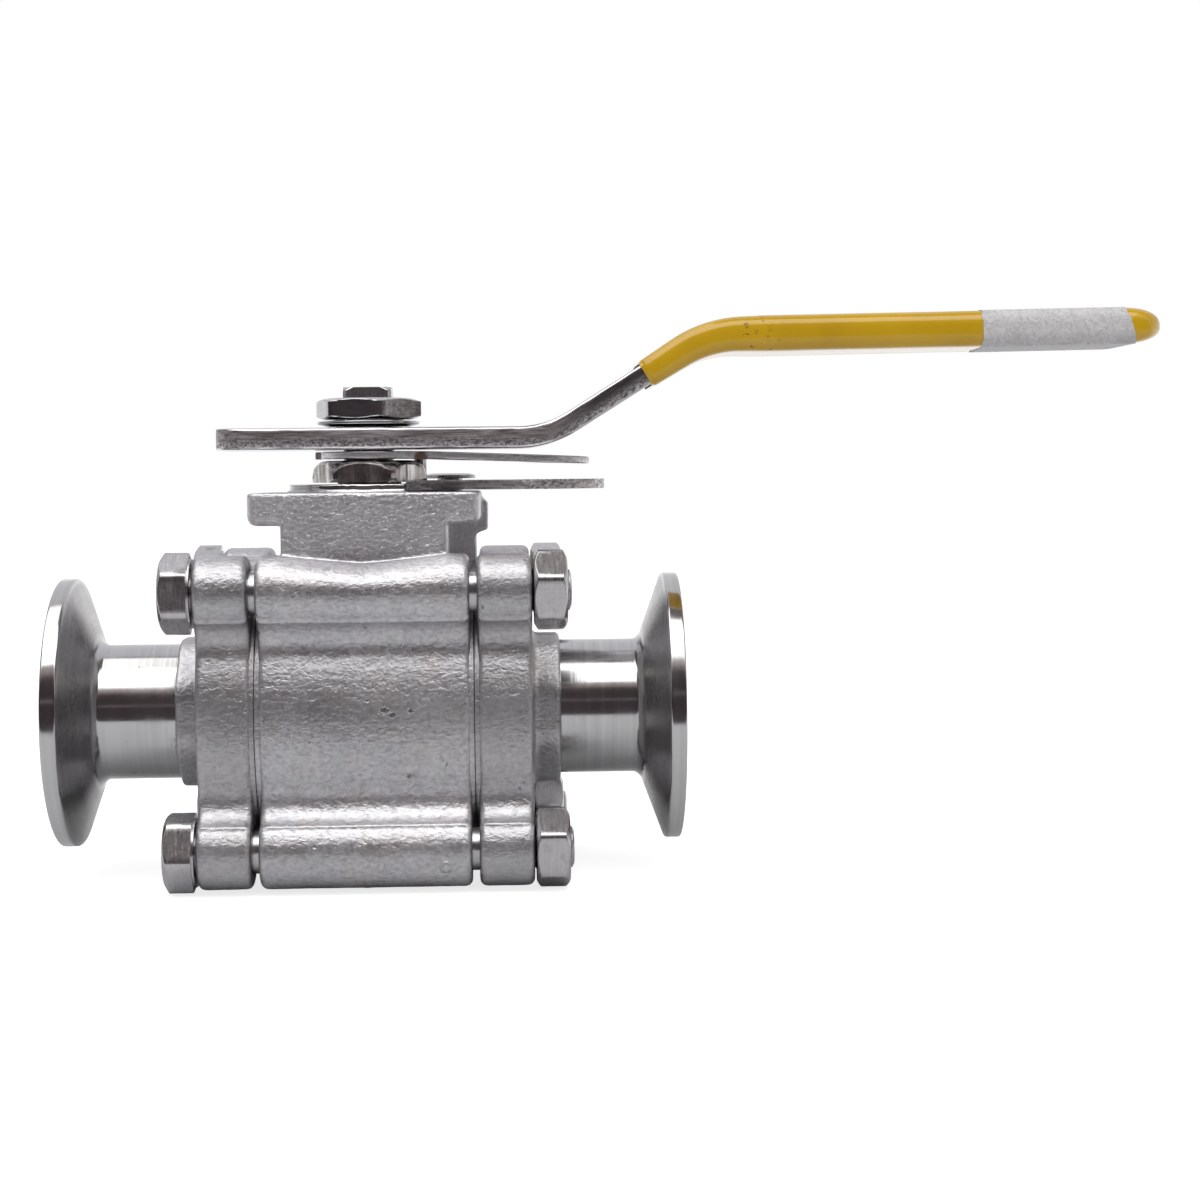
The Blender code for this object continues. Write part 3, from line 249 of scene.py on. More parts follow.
# Steps round a turned piece, and the angle at which an edge stays sharp
FINEST = 192
FINE = 144
MEDIUM = 96
HEX_STEPS = 72
SHARP = radians(40)


def span(node, axis):
    """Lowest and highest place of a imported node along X, Y or Z."""
    return [corner["XYZ".index(axis)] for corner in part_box(node)]


def low(node, axis):
    """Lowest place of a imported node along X, Y or Z."""
    return span(node, axis)[0]


def high(node, axis):
    """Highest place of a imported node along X, Y or Z."""
    return span(node, axis)[1]


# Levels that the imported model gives
RIM_FACE = high("joint_gasket_right", "X")
SPIGOT_TOP = high("body", "Z")
PAD_TOP = SPIGOT_TOP - SPIGOT_HEIGHT
PAD_BOTTOM = PAD_TOP - PAD_THICKNESS
LEVER_BOTTOM = low("lever_washer", "Z") - GAP - LEVER_THICKNESS
LEVER_TAIL = -low("lever", "X")
ARM_LEVEL = low("lock_arm", "Z")


def spread(start, end, steps):
    """Evenly spaced values from start to end, both included."""
    return [start + (end - start) * i / steps for i in range(steps + 1)]


def arc(centre, radius, start, end, steps):
    """Points on an arc from start to end, both included."""
    u, v = centre
    return [(u + radius * cos(a), v + radius * sin(a)) for a in spread(start, end, steps)]


def rounding(size, steps):
    """Steps of a rounded edge from its face: how far along, and how far inward."""
    turns = spread(0, pi / 2, steps)
    return [(size * (1 - cos(t)), size * (1 - sin(t))) for t in turns]


def softened(outline, radius, steps=3):
    """A closed outline with each corner rounded by a short curve."""
    points = [Vector(point) for point in outline]
    result = []
    for i, corner in enumerate(points):
        ends = []
        for other in (points[i - 1], points[(i + 1) % len(points)]):
            edge = other - corner
            ends.append(corner + edge * min(1, radius / edge.length, 0.45))
        for t in spread(0, 1, steps):
            result.append(ends[0] * (1 - t) ** 2 + corner * 2 * t * (1 - t) + ends[1] * t**2)
    return [tuple(point) for point in result]


def smooth(mesh):
    """The mesh shaded smooth between its sharp edges."""
    mesh.shade_smooth()
    mesh.set_sharp_from_angle(angle=SHARP)
    return mesh


def loft(rings, closed=False):
    """Mesh over rings of points. Open ends are capped, or the last ring meets the first."""
    bm = bmesh.new()
    rows = [[bm.verts.new(point) for point in ring] for ring in rings]
    pairs = list(zip(rows, rows[1:]))
    if closed:
        pairs.append((rows[-1], rows[0]))
    for one, two in pairs:
        for i in range(len(one)):
            j = (i + 1) % len(one)
            bm.faces.new((one[i], one[j], two[j], two[i]))
    if not closed:
        bm.faces.new(rows[0])
        bm.faces.new(rows[-1])
    bmesh.ops.remove_doubles(bm, verts=bm.verts[:], dist=0.0005 * MM)
    bmesh.ops.recalc_face_normals(bm, faces=bm.faces[:])
    mesh = bpy.data.meshes.new("shape")
    bm.to_mesh(mesh)
    bm.free()
    return smooth(mesh)


def circle(axis, along, radius, steps, centre=(0, 0)):
    """Ring of points round X or Z, with centre in the two other axes."""
    around = arc(centre, radius, 0, 2 * pi, steps)[:-1]
    return [(along, u, v) if axis == "X" else (u, v, along) for u, v in around]


def turned(profile, axis, steps=FINE):
    """A ring turned about X or Z from a closed profile of (along, radius) points."""
    return loft([circle(axis, a, r, steps) for a, r in profile], closed=True)


def solid(profile, axis, steps=FINE, centre=(0, 0)):
    """A solid turned about X or Z, with flat ends."""
    return loft([circle(axis, a, r, steps, centre) for a, r in profile])


def rod(axis, radius, start, end, centre=(0, 0)):
    """A plain round rod, used to join or to cut."""
    return solid([(start, radius), (end, radius)], axis, MEDIUM, centre)


def plate(outline, bottom, top, edge=0.0):
    """An outline in X and Y, extruded in Z, with small rounded edges."""
    if not edge:
        return loft([[(x, y, z) for x, y in outline] for z in (bottom, top)])
    rings = [(bottom + along, shrink) for along, shrink in rounding(edge, 3)]
    rings += [(top - (z - bottom), shrink) for z, shrink in reversed(rings)]
    return loft([[(x, y, z) for x, y in inset(outline, shrink)] for z, shrink in rings])


def inset(outline, distance):
    """An outline that runs counterclockwise, moved inward by a distance."""
    count = len(outline)
    moved = []
    for i, (x, y) in enumerate(outline):
        before, after = Vector(outline[i - 1]), Vector(outline[(i + 1) % count])
        along = (after - before).normalized()
        moved.append((x - along.y * distance, y + along.x * distance))
    return moved


def block(corner, opposite):
    """A box between two corners, used to join or to cut."""
    (x0, y0, z0), (x1, y1, z1) = corner, opposite
    return plate([(x0, y0), (x1, y0), (x1, y1), (x0, y1)], z0, z1)


def new_object(name, mesh):
    """An object of the mesh, linked to the scene."""
    made = bpy.data.objects.new(name, mesh)
    bpy.context.scene.collection.objects.link(made)
    return made


def modified(mesh, **modifiers):
    """The mesh once modifiers are applied, each given by its kind and settings."""
    base = new_object("base", mesh)
    for kind, settings in modifiers.items():
        modifier = base.modifiers.new(kind, kind)
        for key, value in settings.items():
            setattr(modifier, key, value)
    evaluated = base.evaluated_get(bpy.context.evaluated_depsgraph_get())
    result = bpy.data.meshes.new_from_object(evaluated)
    bpy.data.objects.remove(base)
    return result


def join(mesh, *tools, operation="UNION"):
    """The mesh joined to others one by one, with exact Booleans."""
    for tool_mesh in tools:
        tool = new_object("tool", tool_mesh)
        settings = {"operation": operation, "solver": "EXACT", "object": tool}
        mesh = modified(mesh, BOOLEAN=settings)
        bpy.data.objects.remove(tool)
    return mesh


def cut(mesh, *tools):
    """The mesh with others cut out of it."""
    return join(mesh, *tools, operation="DIFFERENCE")


def bevelled(mesh, width):
    """The mesh with its sharp edges rounded."""
    weld = {"merge_threshold": 0.005 * MM}
    bevel = {"width": width, "segments": 2, "limit_method": "ANGLE"}
    bevel |= {"angle_limit": radians(35), "use_clamp_overlap": True}
    return smooth(modified(mesh, WELD=weld, BEVEL=bevel))


def rotated(mesh, angle, axis="Z"):
    """The mesh, turned about an axis."""
    mesh.transform(Matrix.Rotation(angle, 4, axis))
    return mesh


def add_piece(name, mesh, node, slot, finish=None):
    """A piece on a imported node's body, in its slot's finish or another."""
    made = new_object(name, mesh)
    mesh.materials.clear()
    mesh.materials.append(FINISHES[finish or slot])
    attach(made, body_of(frame["nodes"][node])[0])
    return made


def show(node, mesh, slot, finish=None):
    """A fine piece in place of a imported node."""
    made = add_piece(node + "_shown", mesh, node, slot, finish)
    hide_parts(node)


# Castings


def lobed_outline(inward):
    """The cast section in Y and Z: a round body with a lobe round each bolt."""
    reach = BOLT_OFFSET * sqrt(2)
    to_blend = BULGE_RADIUS + BLEND_RADIUS
    lobe_to_blend = LOBE_RADIUS + BLEND_RADIUS
    near = acos((to_blend**2 + reach**2 - lobe_to_blend**2) / (2 * to_blend * reach))
    far = acos((lobe_to_blend**2 + reach**2 - to_blend**2) / (2 * lobe_to_blend * reach))
    points = []
    for quarter in range(4):
        middle = pi / 4 + quarter * pi / 2
        lobe = (reach * cos(middle), reach * sin(middle))
        for side in (-1, 1):
            bearing = middle + side * near
            blend = (to_blend * cos(bearing), to_blend * sin(bearing))
            to_axis = bearing + pi
            hollow = arc(blend, BLEND_RADIUS + inward, to_axis, to_axis + side * (near + far), 10)
            if side < 0:
                bulge_from = middle - pi / 2 + near
                points += arc((0, 0), BULGE_RADIUS - inward, bulge_from, middle - near, 12)[1:-1]
                points += hollow
                round_lobe = (middle - pi + far, middle + pi - far)
                points += arc(lobe, LOBE_RADIUS - inward, *round_lobe, 26)[1:-1]
            else:
                points += hollow[::-1]
    return points


def cast_slab(start, end):
    """A length of the cast section along X, with rounded edges."""
    edge = rounding(CAST_EDGE, 5)
    stages = [(start + along, shrink) for along, shrink in edge]
    stages += [(end - along, shrink) for along, shrink in reversed(edge)]
    return loft([[(x, y, z) for y, z in lobed_outline(shrink)] for x, shrink in stages])


def bolt_places():
    """The four bolt axes by name, as Y and Z."""
    return {
        f"{row}_{level}": (y * BOLT_OFFSET, z * BOLT_OFFSET)
        for row, y in (("front", -1), ("rear", 1))
        for level, z in (("upper", 1), ("lower", -1))
    }


def bolt_holes(start, end):
    """Rods along X that cut the four bolt holes."""
    return [rod("X", BOLT_HOLE_RADIUS, start, end, place) for place in bolt_places().values()]


def relief(mesh, seed, seam=0.0, flat_above=None):
    """The skin of a casting: slow waviness, orange peel, and the seam of the mould at X 0."""
    away = Vector((seed * 7.3, seed * 3.1, seed * 5.7))
    normals = [vertex.normal.copy() for vertex in mesh.vertices]
    for vertex, normal in zip(mesh.vertices, normals):
        place = vertex.co
        if flat_above and place.z > flat_above:
            continue
        if seam and abs(place.y) > PAD_WIDTH / 2 and place.z > NECK_FOOT:
            share = max(0, 1 - abs(place.x) / (NECK_WIDTH / 2)) ** 0.8
            rise = min(1, (place.z - NECK_FOOT) / (BOLT_OFFSET + LOBE_RADIUS - NECK_FOOT))
            place.z -= LOBE_DIP * share * rise
        shift = WAVINESS * noise.noise(place / WAVE_LENGTH + away)
        peel = noise.noise(place / PEEL_LENGTH + away)
        fine = noise.noise(place / (PEEL_LENGTH * 0.47) + away)
        shift += PEEL * (peel + 0.45 * fine)
        if seam and abs(place.x) < 2 * SEAM_WIDTH:
            shift += seam * exp(-((place.x / SEAM_WIDTH) ** 2)) * (0.6 + peel)
        vertex.co = place + normal * shift


def cast_skin(mesh, seed, seam=0.0, flat_above=None):
    """Remesh evenly, soften the edges, and add the relief of the casting."""
    even = {"mode": "VOXEL", "voxel_size": VOXEL}
    result = modified(mesh, REMESH=even, SMOOTH={"factor": 0.5, "iterations": 3})
    relief(result, seed, seam, flat_above)
    result.shade_smooth()
    return result


def neck():
    """The neck under the pad: a block as deep as the pad."""
    half, depth = NECK_WIDTH / 2, PAD_WIDTH / 2
    return block((-half, -depth, NECK_FOOT), (half, depth, PAD_TOP - MM))


def rounded_rectangle(half_width, half_height, corner, steps):
    """Outline of a rectangle with round corners."""
    points = []
    for quarter, (u, v) in enumerate(((1, 1), (-1, 1), (-1, -1), (1, -1))):
        middle = (u * (half_width - corner), v * (half_height - corner))
        start = quarter * pi / 2
        points += arc(middle, corner, start, start + pi / 2, steps)
    return points


def actuator_pad():
    """Square pad with a rounded lower edge."""
    half = PAD_WIDTH / 2
    rings = [(PAD_BOTTOM + along, half - shrink) for along, shrink in rounding(PAD_LOWER_EDGE, 4)]
    rings += [(PAD_TOP - PAD_UPPER_EDGE, half), (PAD_TOP, half - PAD_UPPER_EDGE)]
    return loft(
        [[(x, y, z) for x, y in rounded_rectangle(w, w, PAD_CORNER, 6)] for z, w in rings]
    )


def feeder_stub():
    """What is left of the casting's feeder, at the rear of the neck's right side."""
    inner, outer = NECK_WIDTH / 2 - MM, high("body", "X")
    bottom, top = FEEDER_Z
    side_view = [(inner, BOLT_OFFSET), (FEEDER_FOOT, BOLT_OFFSET), (FEEDER_FOOT, bottom)]
    side_view += [(outer, bottom + FEEDER_DROP), (outer, top - MM), (outer - MM, top), (inner, top)]
    return loft([[(x, y, z) for x, z in side_view] for y in FEEDER_Y])


def show_body():
    """Centre casting, with its neck, pad, spigot, cavity and holes."""
    half, beyond, above = RIM_FACE - RIM_HEIGHT, RIM_FACE + MM, SPIGOT_TOP + MM
    mesh = join(
        cast_slab(-half, half),
        rod("X", RIM_RADIUS, -RIM_FACE, RIM_FACE),
        neck(),
        actuator_pad(),
        feeder_stub(),
        rod("Z", SPIGOT_RADIUS, PAD_BOTTOM + MM, SPIGOT_TOP),
    )
    pin = [(a + b) / 2 for a, b in zip(*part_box("stop_pin"))]
    pad_holes = [
        rod("Z", PAD_HOLE_RADIUS, PAD_TOP - PAD_HOLE_DEPTH, PAD_TOP + MM, (x, y))
        for x in (-PAD_HOLE_OFFSET, PAD_HOLE_OFFSET)
        for y in (-PAD_HOLE_OFFSET, PAD_HOLE_OFFSET)
    ]
    mesh = cut(
        mesh,
        rod("X", CAVITY_RADIUS, -beyond, beyond),
        rod("Z", STEM_BORE, CAVITY_RADIUS - 3 * MM, above),
        *bolt_holes(-beyond, beyond),
        *pad_holes,
        rod("Z", PIN_RADIUS + FIT, low("stop_pin", "Z"), above, pin[:2]),
    )
    show("body", cast_skin(mesh, 1, SEAM_HEIGHT, PAD_TOP - 0.2 * MM), "cast_stainless")
    show_joint_steps("body_step_{}", half - MM, RIM_FACE + STEP_CLOSER)


def cap_boss(start, end):
    """Eight-sided boss, with softened corners and a fillet at its foot."""
    octagon = BOSS_FLATS / 2 / cos(pi / 8)
    profile = [(start - 2 * MM, BOSS_FILLET)]
    profile += [(start + along, swell) for along, swell in rounding(BOSS_FILLET, 5)]
    profile += [(end - BOSS_CHAMFER, 0), (end, -BOSS_CHAMFER)]
    rings = []
    for x, swell in profile:
        corners = arc((0, 0), octagon + swell, pi / 8, pi / 8 + 1.75 * pi, 7)
        rings.append([(x, y, z) for y, z in softened(corners, BOSS_CORNER, 6)])
    return loft(rings)


def show_joint_steps(name, start, end):
    """Turned steps of the joint faces, just inside the casting's outline."""
    profile = [(start, RIM_RADIUS), (start, STEP_RADIUS), (end, STEP_RADIUS), (end, RIM_RADIUS)]
    for side, turn in (("right", 0), ("left", pi)):
        mesh = rotated(turned(softened(profile, STEP_EDGE), "X", FINEST), turn)
        add_piece(name.format(side), mesh, "body", "cast_stainless")


def show_end_caps():
    """Two end caps: a lobed flange with a rim, a boss and the socket for the tube."""
    boss_end = high("end_cap_right", "X")
    rim_face = RIM_FACE + GAP
    inner = rim_face + RIM_HEIGHT
    outer = inner + CAP_FLANGE
    mesh = join(
        cast_slab(inner, outer),
        rod("X", RIM_RADIUS, rim_face, inner + 2 * MM),
        cap_boss(outer, boss_end),
    )
    mesh = cut(
        mesh,
        rod("X", BORE_RADIUS, rim_face - MM, boss_end),
        rod("X", TUBE_RADIUS + FIT, boss_end - SOCKET_DEPTH, boss_end + MM),
        *bolt_holes(inner - MM, outer + MM),
    )
    show("end_cap_left", cast_skin(rotated(mesh.copy(), pi), 2), "cast_stainless")
    show("end_cap_right", cast_skin(mesh, 3), "cast_stainless")
    show_joint_steps("end_cap_{}_step", rim_face - STEP_CLOSER, inner + MM)


# Flow line


def show_ferrules():
    """Two clamp ferrules with their tube."""
    start, face = span("clamp_ferrule_right", "X")
    radius = high("clamp_ferrule_right", "Y")
    cone_end = face - FERRULE_RIM
    cone_foot = cone_end - (radius - TUBE_RADIUS) * tan(FERRULE_CONE)
    groove = [
        (face + GROOVE_DEPTH * cos(a), GROOVE_RADIUS + GROOVE_HALF_WIDTH * sin(a))
        for a in spread(-pi / 2, -1.5 * pi, 14)
    ]
    body = [
        (face, radius),
        (cone_end, radius),
        (cone_foot + 0.3 * MM, TUBE_RADIUS + MM),
        (cone_foot - 0.9 * MM, TUBE_RADIUS),
        (start, TUBE_RADIUS),
        (start, BORE_RADIUS),
        (face, BORE_RADIUS),
    ]
    mesh = turned([*softened(body, FERRULE_EDGE, 4), *groove], "X", FINEST)
    show("clamp_ferrule_left", rotated(mesh.copy(), pi), "polished_stainless")
    show("clamp_ferrule_right", mesh, "polished_stainless")


def show_ball():
    """Ball with a through bore along X, and a slot across it for the stem's tang."""
    radius = high("ball", "Y")
    tip = acos(BORE_RADIUS / radius)
    profile = [(radius * sin(a), radius * cos(a)) for a in spread(-tip, tip, 40)]
    half, beyond = BALL_SLOT_HALF, radius + MM
    slot = block((-half, -beyond, radius - BALL_SLOT_DEPTH), (half, beyond, beyond))
    show("ball", bevelled(cut(turned(profile, "X"), slot), 0.2 * MM), "polished_stainless")


# Stem and its fastenings


def hex_ring(along, flats, limit):
    """A hexagon's ring whose corners are turned down to a limiting radius."""
    ring = []
    for turn in spread(0, 2 * pi, HEX_STEPS)[:-1]:
        from_flat = (turn + pi / 6) % (pi / 3) - pi / 6
        radius = min(flats / 2 / cos(from_flat), limit)
        ring.append((radius * cos(turn), radius * sin(turn), along))
    return ring


def hex_corner(flats):
    """Radius at a hexagon's corners, a little worn."""
    return flats / 2 / cos(pi / 6) - HEX_CORNER


def hexagon_end(level, flats, direction, lean=HEX_CHAMFER):
    """Rings of the turned chamfer at one end of a hexagon, from the flats to the face."""
    start = flats / 2 * HEX_FACE
    inward, back = HEX_EDGE
    rings = []
    for limit in spread(hex_corner(flats), start, 8):
        behind = (limit - start) * tan(lean) + back
        rings.append(hex_ring(level - direction * behind, flats, limit))
    rings.append(hex_ring(level, flats, start - inward))
    return rings


def hexagon_nut(bottom, top, flats, hole, lean=HEX_CHAMFER):
    """A hexagon nut, chamfered on both faces and countersunk at its hole."""
    rings = hexagon_end(bottom, flats, -1, lean)[::-1]
    rings += hexagon_end(top, flats, 1, lean)
    sink = 0.5 * MM
    rings.append(circle("Z", top, hole + sink, HEX_STEPS))
    rings += [circle("Z", level, hole, HEX_STEPS) for level in (top - sink, bottom + sink)]
    rings.append(circle("Z", bottom, hole + sink, HEX_STEPS))
    return loft(rings, closed=True)


def show_gland_nut():
    """Gland nut with its top corners turned to a dome."""
    flats = GLAND_NUT_FLATS
    corner = flats / 2 / cos(pi / 6) - 0.1 * MM
    bottom, top = span("gland_nut", "Z")
    rings = [hex_ring(bottom, flats, corner - 0.3 * MM)]
    rings.append(hex_ring(bottom + 0.3 * MM, flats, corner))
    inward, down = GLAND_NUT_DOME
    for t in spread(0, pi / 2, 12):
        limit = corner - inward * (1 - cos(t))
        rings.append(hex_ring(top - down * (1 - sin(t)), flats, limit))
    rings += [circle("Z", z, STEM_RADIUS + GAP, HEX_STEPS) for z in (top, bottom)]
    show("gland_nut", rotated(loft(rings, closed=True), GLAND_NUT_TURN), "burnished_steel")


def show_lever_fastening():
    """Dished washer and thin nut on the stem, over the lever."""
    inner, radius = STEM_RADIUS + GAP, high("lever_washer", "X")
    bottom, top = span("lever_washer", "Z")
    profile = [(bottom, inner), (bottom, WASHER_FOOT_RADIUS), (bottom + WASHER_DISH, radius)]
    profile += [(top, radius), (top, inner)]
    washer = turned(softened(profile, 0.18 * MM), "Z")
    show("lever_washer", washer, "plated_steel", "bright_plate")
    ends = span("lever_nut", "Z")
    nut = hexagon_nut(*ends, LEVER_NUT_FLATS, inner, LEVER_NUT_CHAMFER)
    show("lever_nut", rotated(nut, LEVER_NUT_TURN), "plated_steel", "bright_plate")


def stem_ring(height, radius, square=False):
    """A ring round the stem, or on its square with the corners turned down to the radius."""
    points = []
    for turn in spread(0, 2 * pi, MEDIUM)[:-1]:
        flat = STEM_SQUARE / 2 / max(abs(cos(turn)), abs(sin(turn)))
        reach = min(flat, radius) if square else radius
        points.append((reach * cos(turn), reach * sin(turn), height))
    return points


def show_stem():
    """Stem: its tang, collar, round shaft and square top with turned corners."""
    foot, top = span("stem", "Z")
    square_from = high("gland_nut", "Z")
    bottom, shoulder = COLLAR_Z
    rings = [stem_ring(bottom, COLLAR_RADIUS - 0.2 * MM)]
    rings += [stem_ring(z, COLLAR_RADIUS) for z in (bottom + 0.2 * MM, shoulder)]
    rings += [stem_ring(z, STEM_RADIUS) for z in (shoulder, square_from)]
    rings.append(stem_ring(square_from, STEM_RADIUS, True))
    for t in spread(0, 1, 4):
        radius = STEM_RADIUS - STEM_CHAMFER * t**1.5
        rings.append(stem_ring(top - STEM_CHAMFER * (1 - t), radius, True))
    x, y = TANG_HALF
    mesh = join(loft(rings), block((-x, -y, foot), (x, y, bottom + MM)))
    show("stem", bevelled(mesh, 0.15 * MM), "machined_stainless")


# Locking plates and their screw


def cut_square(mesh, bottom, top):
    """The mesh with the square hole that takes the stem."""
    half = STEM_SQUARE / 2 + GAP
    return cut(mesh, block((-half, -half, bottom), (half, half, top)))


def show_lock_arm():
    """Thin arm on the stem's square, drooping to its end, with its stop ear."""
    top = high("lock_arm", "Z")
    bottom = top - ARM_THICKNESS
    ear_left, reach = span("lock_arm", "X")
    pin_x, pin_y = low("stop_pin", "X"), low("stop_pin", "Y")
    half, ear_top = pin_y - GAP, pin_x - GAP
    end = reach - half
    side = asin(half / ARM_HUB_RADIUS)
    foot = pi - asin(STOP_EAR_FOOT / ARM_HUB_RADIUS)
    outline = arc((0, 0), ARM_HUB_RADIUS, side, pi / 2, 12)
    outline += [(-MM, ARM_HUB_RADIUS), (-MM, ear_top), (ear_left, ear_top), (ear_left, STOP_EAR_FOOT)]
    outline += arc((0, 0), ARM_HUB_RADIUS, foot, 2 * pi - side, 40)
    outline += [(x, -half) for x in spread(ARM_STRAIGHT_FROM, end, 12)]
    outline += arc((end, 0), half, -pi / 2, pi / 2, 32)[1:]
    outline += [(x, half) for x in spread(end, ARM_STRAIGHT_FROM, 12)[1:]]
    mesh = cut_square(plate(outline, bottom, top, 0.25 * MM), bottom - MM, top + MM)
    hole = rod("Z", PADLOCK_HOLE_RADIUS, bottom - MM, top + MM, (PADLOCK_HOLE_X, 0))
    mesh = cut(mesh, hole)
    droop = bottom - ARM_LEVEL
    for vertex in mesh.vertices:
        share = max(0, vertex.co.x - ARM_HUB_RADIUS) / (reach - ARM_HUB_RADIUS)
        vertex.co.z -= droop * share
    show("lock_arm", smooth(mesh), "plated_steel")


def show_lock_plate():
    """Fixed plate on the pad, hollowed round the spigot, with an ear for its screw."""
    bottom, top = span("lock_plate", "Z")
    half = -low("lock_plate", "Y")
    around = SPIGOT_RADIUS + GAP
    lean = asin(half / around)
    end = high("lock_plate", "X") - half
    outline = arc((0, 0), around, lean, -lean, 24)
    outline += arc((end, 0), half, -pi / 2, pi / 2, 48)
    screw = (PAD_HOLE_OFFSET, PAD_HOLE_OFFSET)
    ear = arc(screw, LOCK_EAR_RADIUS, -radians(20), radians(170), 36)
    ear += [(PAD_HOLE_OFFSET + x, half - 2 * MM) for x in LOCK_EAR_FOOT]
    mesh = join(plate(outline, bottom, top), plate(ear, bottom, top))
    holes = ((PADLOCK_HOLE_RADIUS, (PADLOCK_HOLE_X, 0)), (PAD_HOLE_RADIUS, screw))
    mesh = cut(mesh, *[rod("Z", radius, bottom - MM, top + MM, place) for radius, place in holes])
    show("lock_plate", bevelled(mesh, 0.22 * MM), "plated_steel")


def show_lock_screw():
    """Low-head screw that holds the lock plate to the pad."""
    bottom, top = span("lock_plate_screw", "Z")
    head = high("lock_plate", "Z") + GAP
    profile = [(bottom, 2.0 * MM), (bottom + 0.45 * MM, SCREW_RADIUS), (head, SCREW_RADIUS)]
    profile.append((head, SCREW_HEAD_RADIUS))
    for t in spread(0, 1, 6):
        profile.append((top - 0.5 * MM * (1 - t), SCREW_HEAD_RADIUS - 1.4 * MM * t**2))
    profile += [(top, 2.3 * MM), (top - 0.5 * MM, 2.2 * MM)]
    mesh = solid(profile, "Z", MEDIUM, (PAD_HOLE_OFFSET, PAD_HOLE_OFFSET))
    show("lock_plate_screw", mesh, "machined_stainless")


# Lever and its sleeve


def lever_route():
    """The strip's middle line from its tail, as lengths and the turn that each one makes."""
    lower = LEVER_LOWER_BEND * tan(LEVER_SLOPE / 2)
    turn_back = LEVER_SLOPE - LEVER_GRIP_SLOPE
    upper = LEVER_UPPER_BEND * tan(turn_back / 2)
    return [
        (LEVER_TAIL + LEVER_BEND_X - lower, 0),
        (LEVER_LOWER_BEND * LEVER_SLOPE, LEVER_SLOPE),
        (LEVER_RISE - lower - upper, 0),
        (LEVER_UPPER_BEND * turn_back, -turn_back),
        (LEVER_GRIP - upper, 0),
    ]


LEVER_LENGTH = sum(length for length, turn in lever_route())
SLEEVE_END = LEVER_LENGTH + SLEEVE_TIP


def follow(distance):
    """Where the lever's middle line is after a distance: X, Z and heading."""
    x, z, heading = -LEVER_TAIL, LEVER_BOTTOM + LEVER_THICKNESS / 2, 0
    route = lever_route()
    for index, (length, turn) in enumerate(route):
        last = index == len(route) - 1
        part = distance if last else min(distance, length)
        if turn:
            radius = length / turn
            ahead = heading + turn * part / length
            x += radius * (sin(ahead) - sin(heading))
            z += radius * (cos(heading) - cos(ahead))
            heading = ahead
        else:
            x += part * cos(heading)
            z += part * sin(heading)
        distance -= part
        if distance <= 0:
            break
    return x, z, heading


def strip_ring(distance, section):
    """A ring across the lever at a distance along it, from (side, up) points."""
    x, z, heading = follow(distance)
    return [
        (x - up * sin(heading), side, z + up * cos(heading)) for side, up in section
    ]


def lever_half_width(distance):
    """Half the strip's width, with a smooth taper from hub to grip and round ends."""
    start, end = LEVER_TAPER
    share = min(max((distance - start) / (end - start), 0), 1)
    ease = share * share * (3 - 2 * share)
    width = LEVER_HUB_WIDTH / 2 + (LEVER_GRIP_WIDTH - LEVER_HUB_WIDTH) / 2 * ease
    to_end = min(distance, LEVER_LENGTH - distance)
    if to_end < LEVER_CORNER:
        width -= LEVER_CORNER - sqrt(LEVER_CORNER**2 - (LEVER_CORNER - to_end) ** 2)
    return width


def show_lever():
    """Bent strip with rolled top edges, torn lower edges and a square hole for the stem."""
    half = LEVER_THICKNESS / 2
    distances = [LEVER_CORNER * (1 - cos(t)) for t in spread(0, pi / 2, 12)]
    distances += spread(LEVER_CORNER, LEVER_LENGTH - LEVER_CORNER, 150)[1:-1]
    distances += [LEVER_LENGTH - s for s in reversed(distances[:13])]
    rings = []
    for s in distances:
        place = Vector((s / (5 * MM), 0, 0))
        width = lever_half_width(s) + 0.05 * MM * noise.noise(place)
        edge = LEVER_EDGE * (1 + 0.25 * noise.noise(place * 1.7))
        rings.append(strip_ring(s, rounded_rectangle(width, half, edge, 5)))
    mesh = cut_square(loft(rings), LEVER_BOTTOM - MM, LEVER_BOTTOM + LEVER_THICKNESS + MM)
    show("lever", smooth(mesh), "plated_steel", "lever_steel")


def sleeve_half_height(along):
    """Half the sleeve's outer height at a distance from its mouth."""
    share = min(along / SLEEVE_FULL_AT, 1)
    return (SLEEVE_MOUTH_HEIGHT + (SLEEVE_HEIGHT - SLEEVE_MOUTH_HEIGHT) * share) / 2


def sleeve_section(distance, shrink=0.0, steps=8):
    """Outline of the sleeve across the grip, as (side, up) points."""
    nose = SLEEVE_END - SLEEVE_NOSE
    height = sleeve_half_height(distance - SLEEVE_START)
    side = LEVER_GRIP_WIDTH / 2 + height - LEVER_THICKNESS / 2
    if distance > nose:
        fall = sqrt(max(0, 1 - ((distance - nose) / SLEEVE_NOSE) ** 2))
        height *= fall
        side -= SLEEVE_NOSE * (1 - fall)
    height = max(height - shrink, 0.15 * MM)
    return rounded_rectangle(side - shrink, height, height * SLEEVE_ROUNDNESS, steps)


def along_grip(x):
    """Distance along the lever at which its middle line reaches an X on the grip."""
    end_x, _, heading = follow(LEVER_LENGTH)
    return LEVER_LENGTH - (end_x - x) / cos(heading)


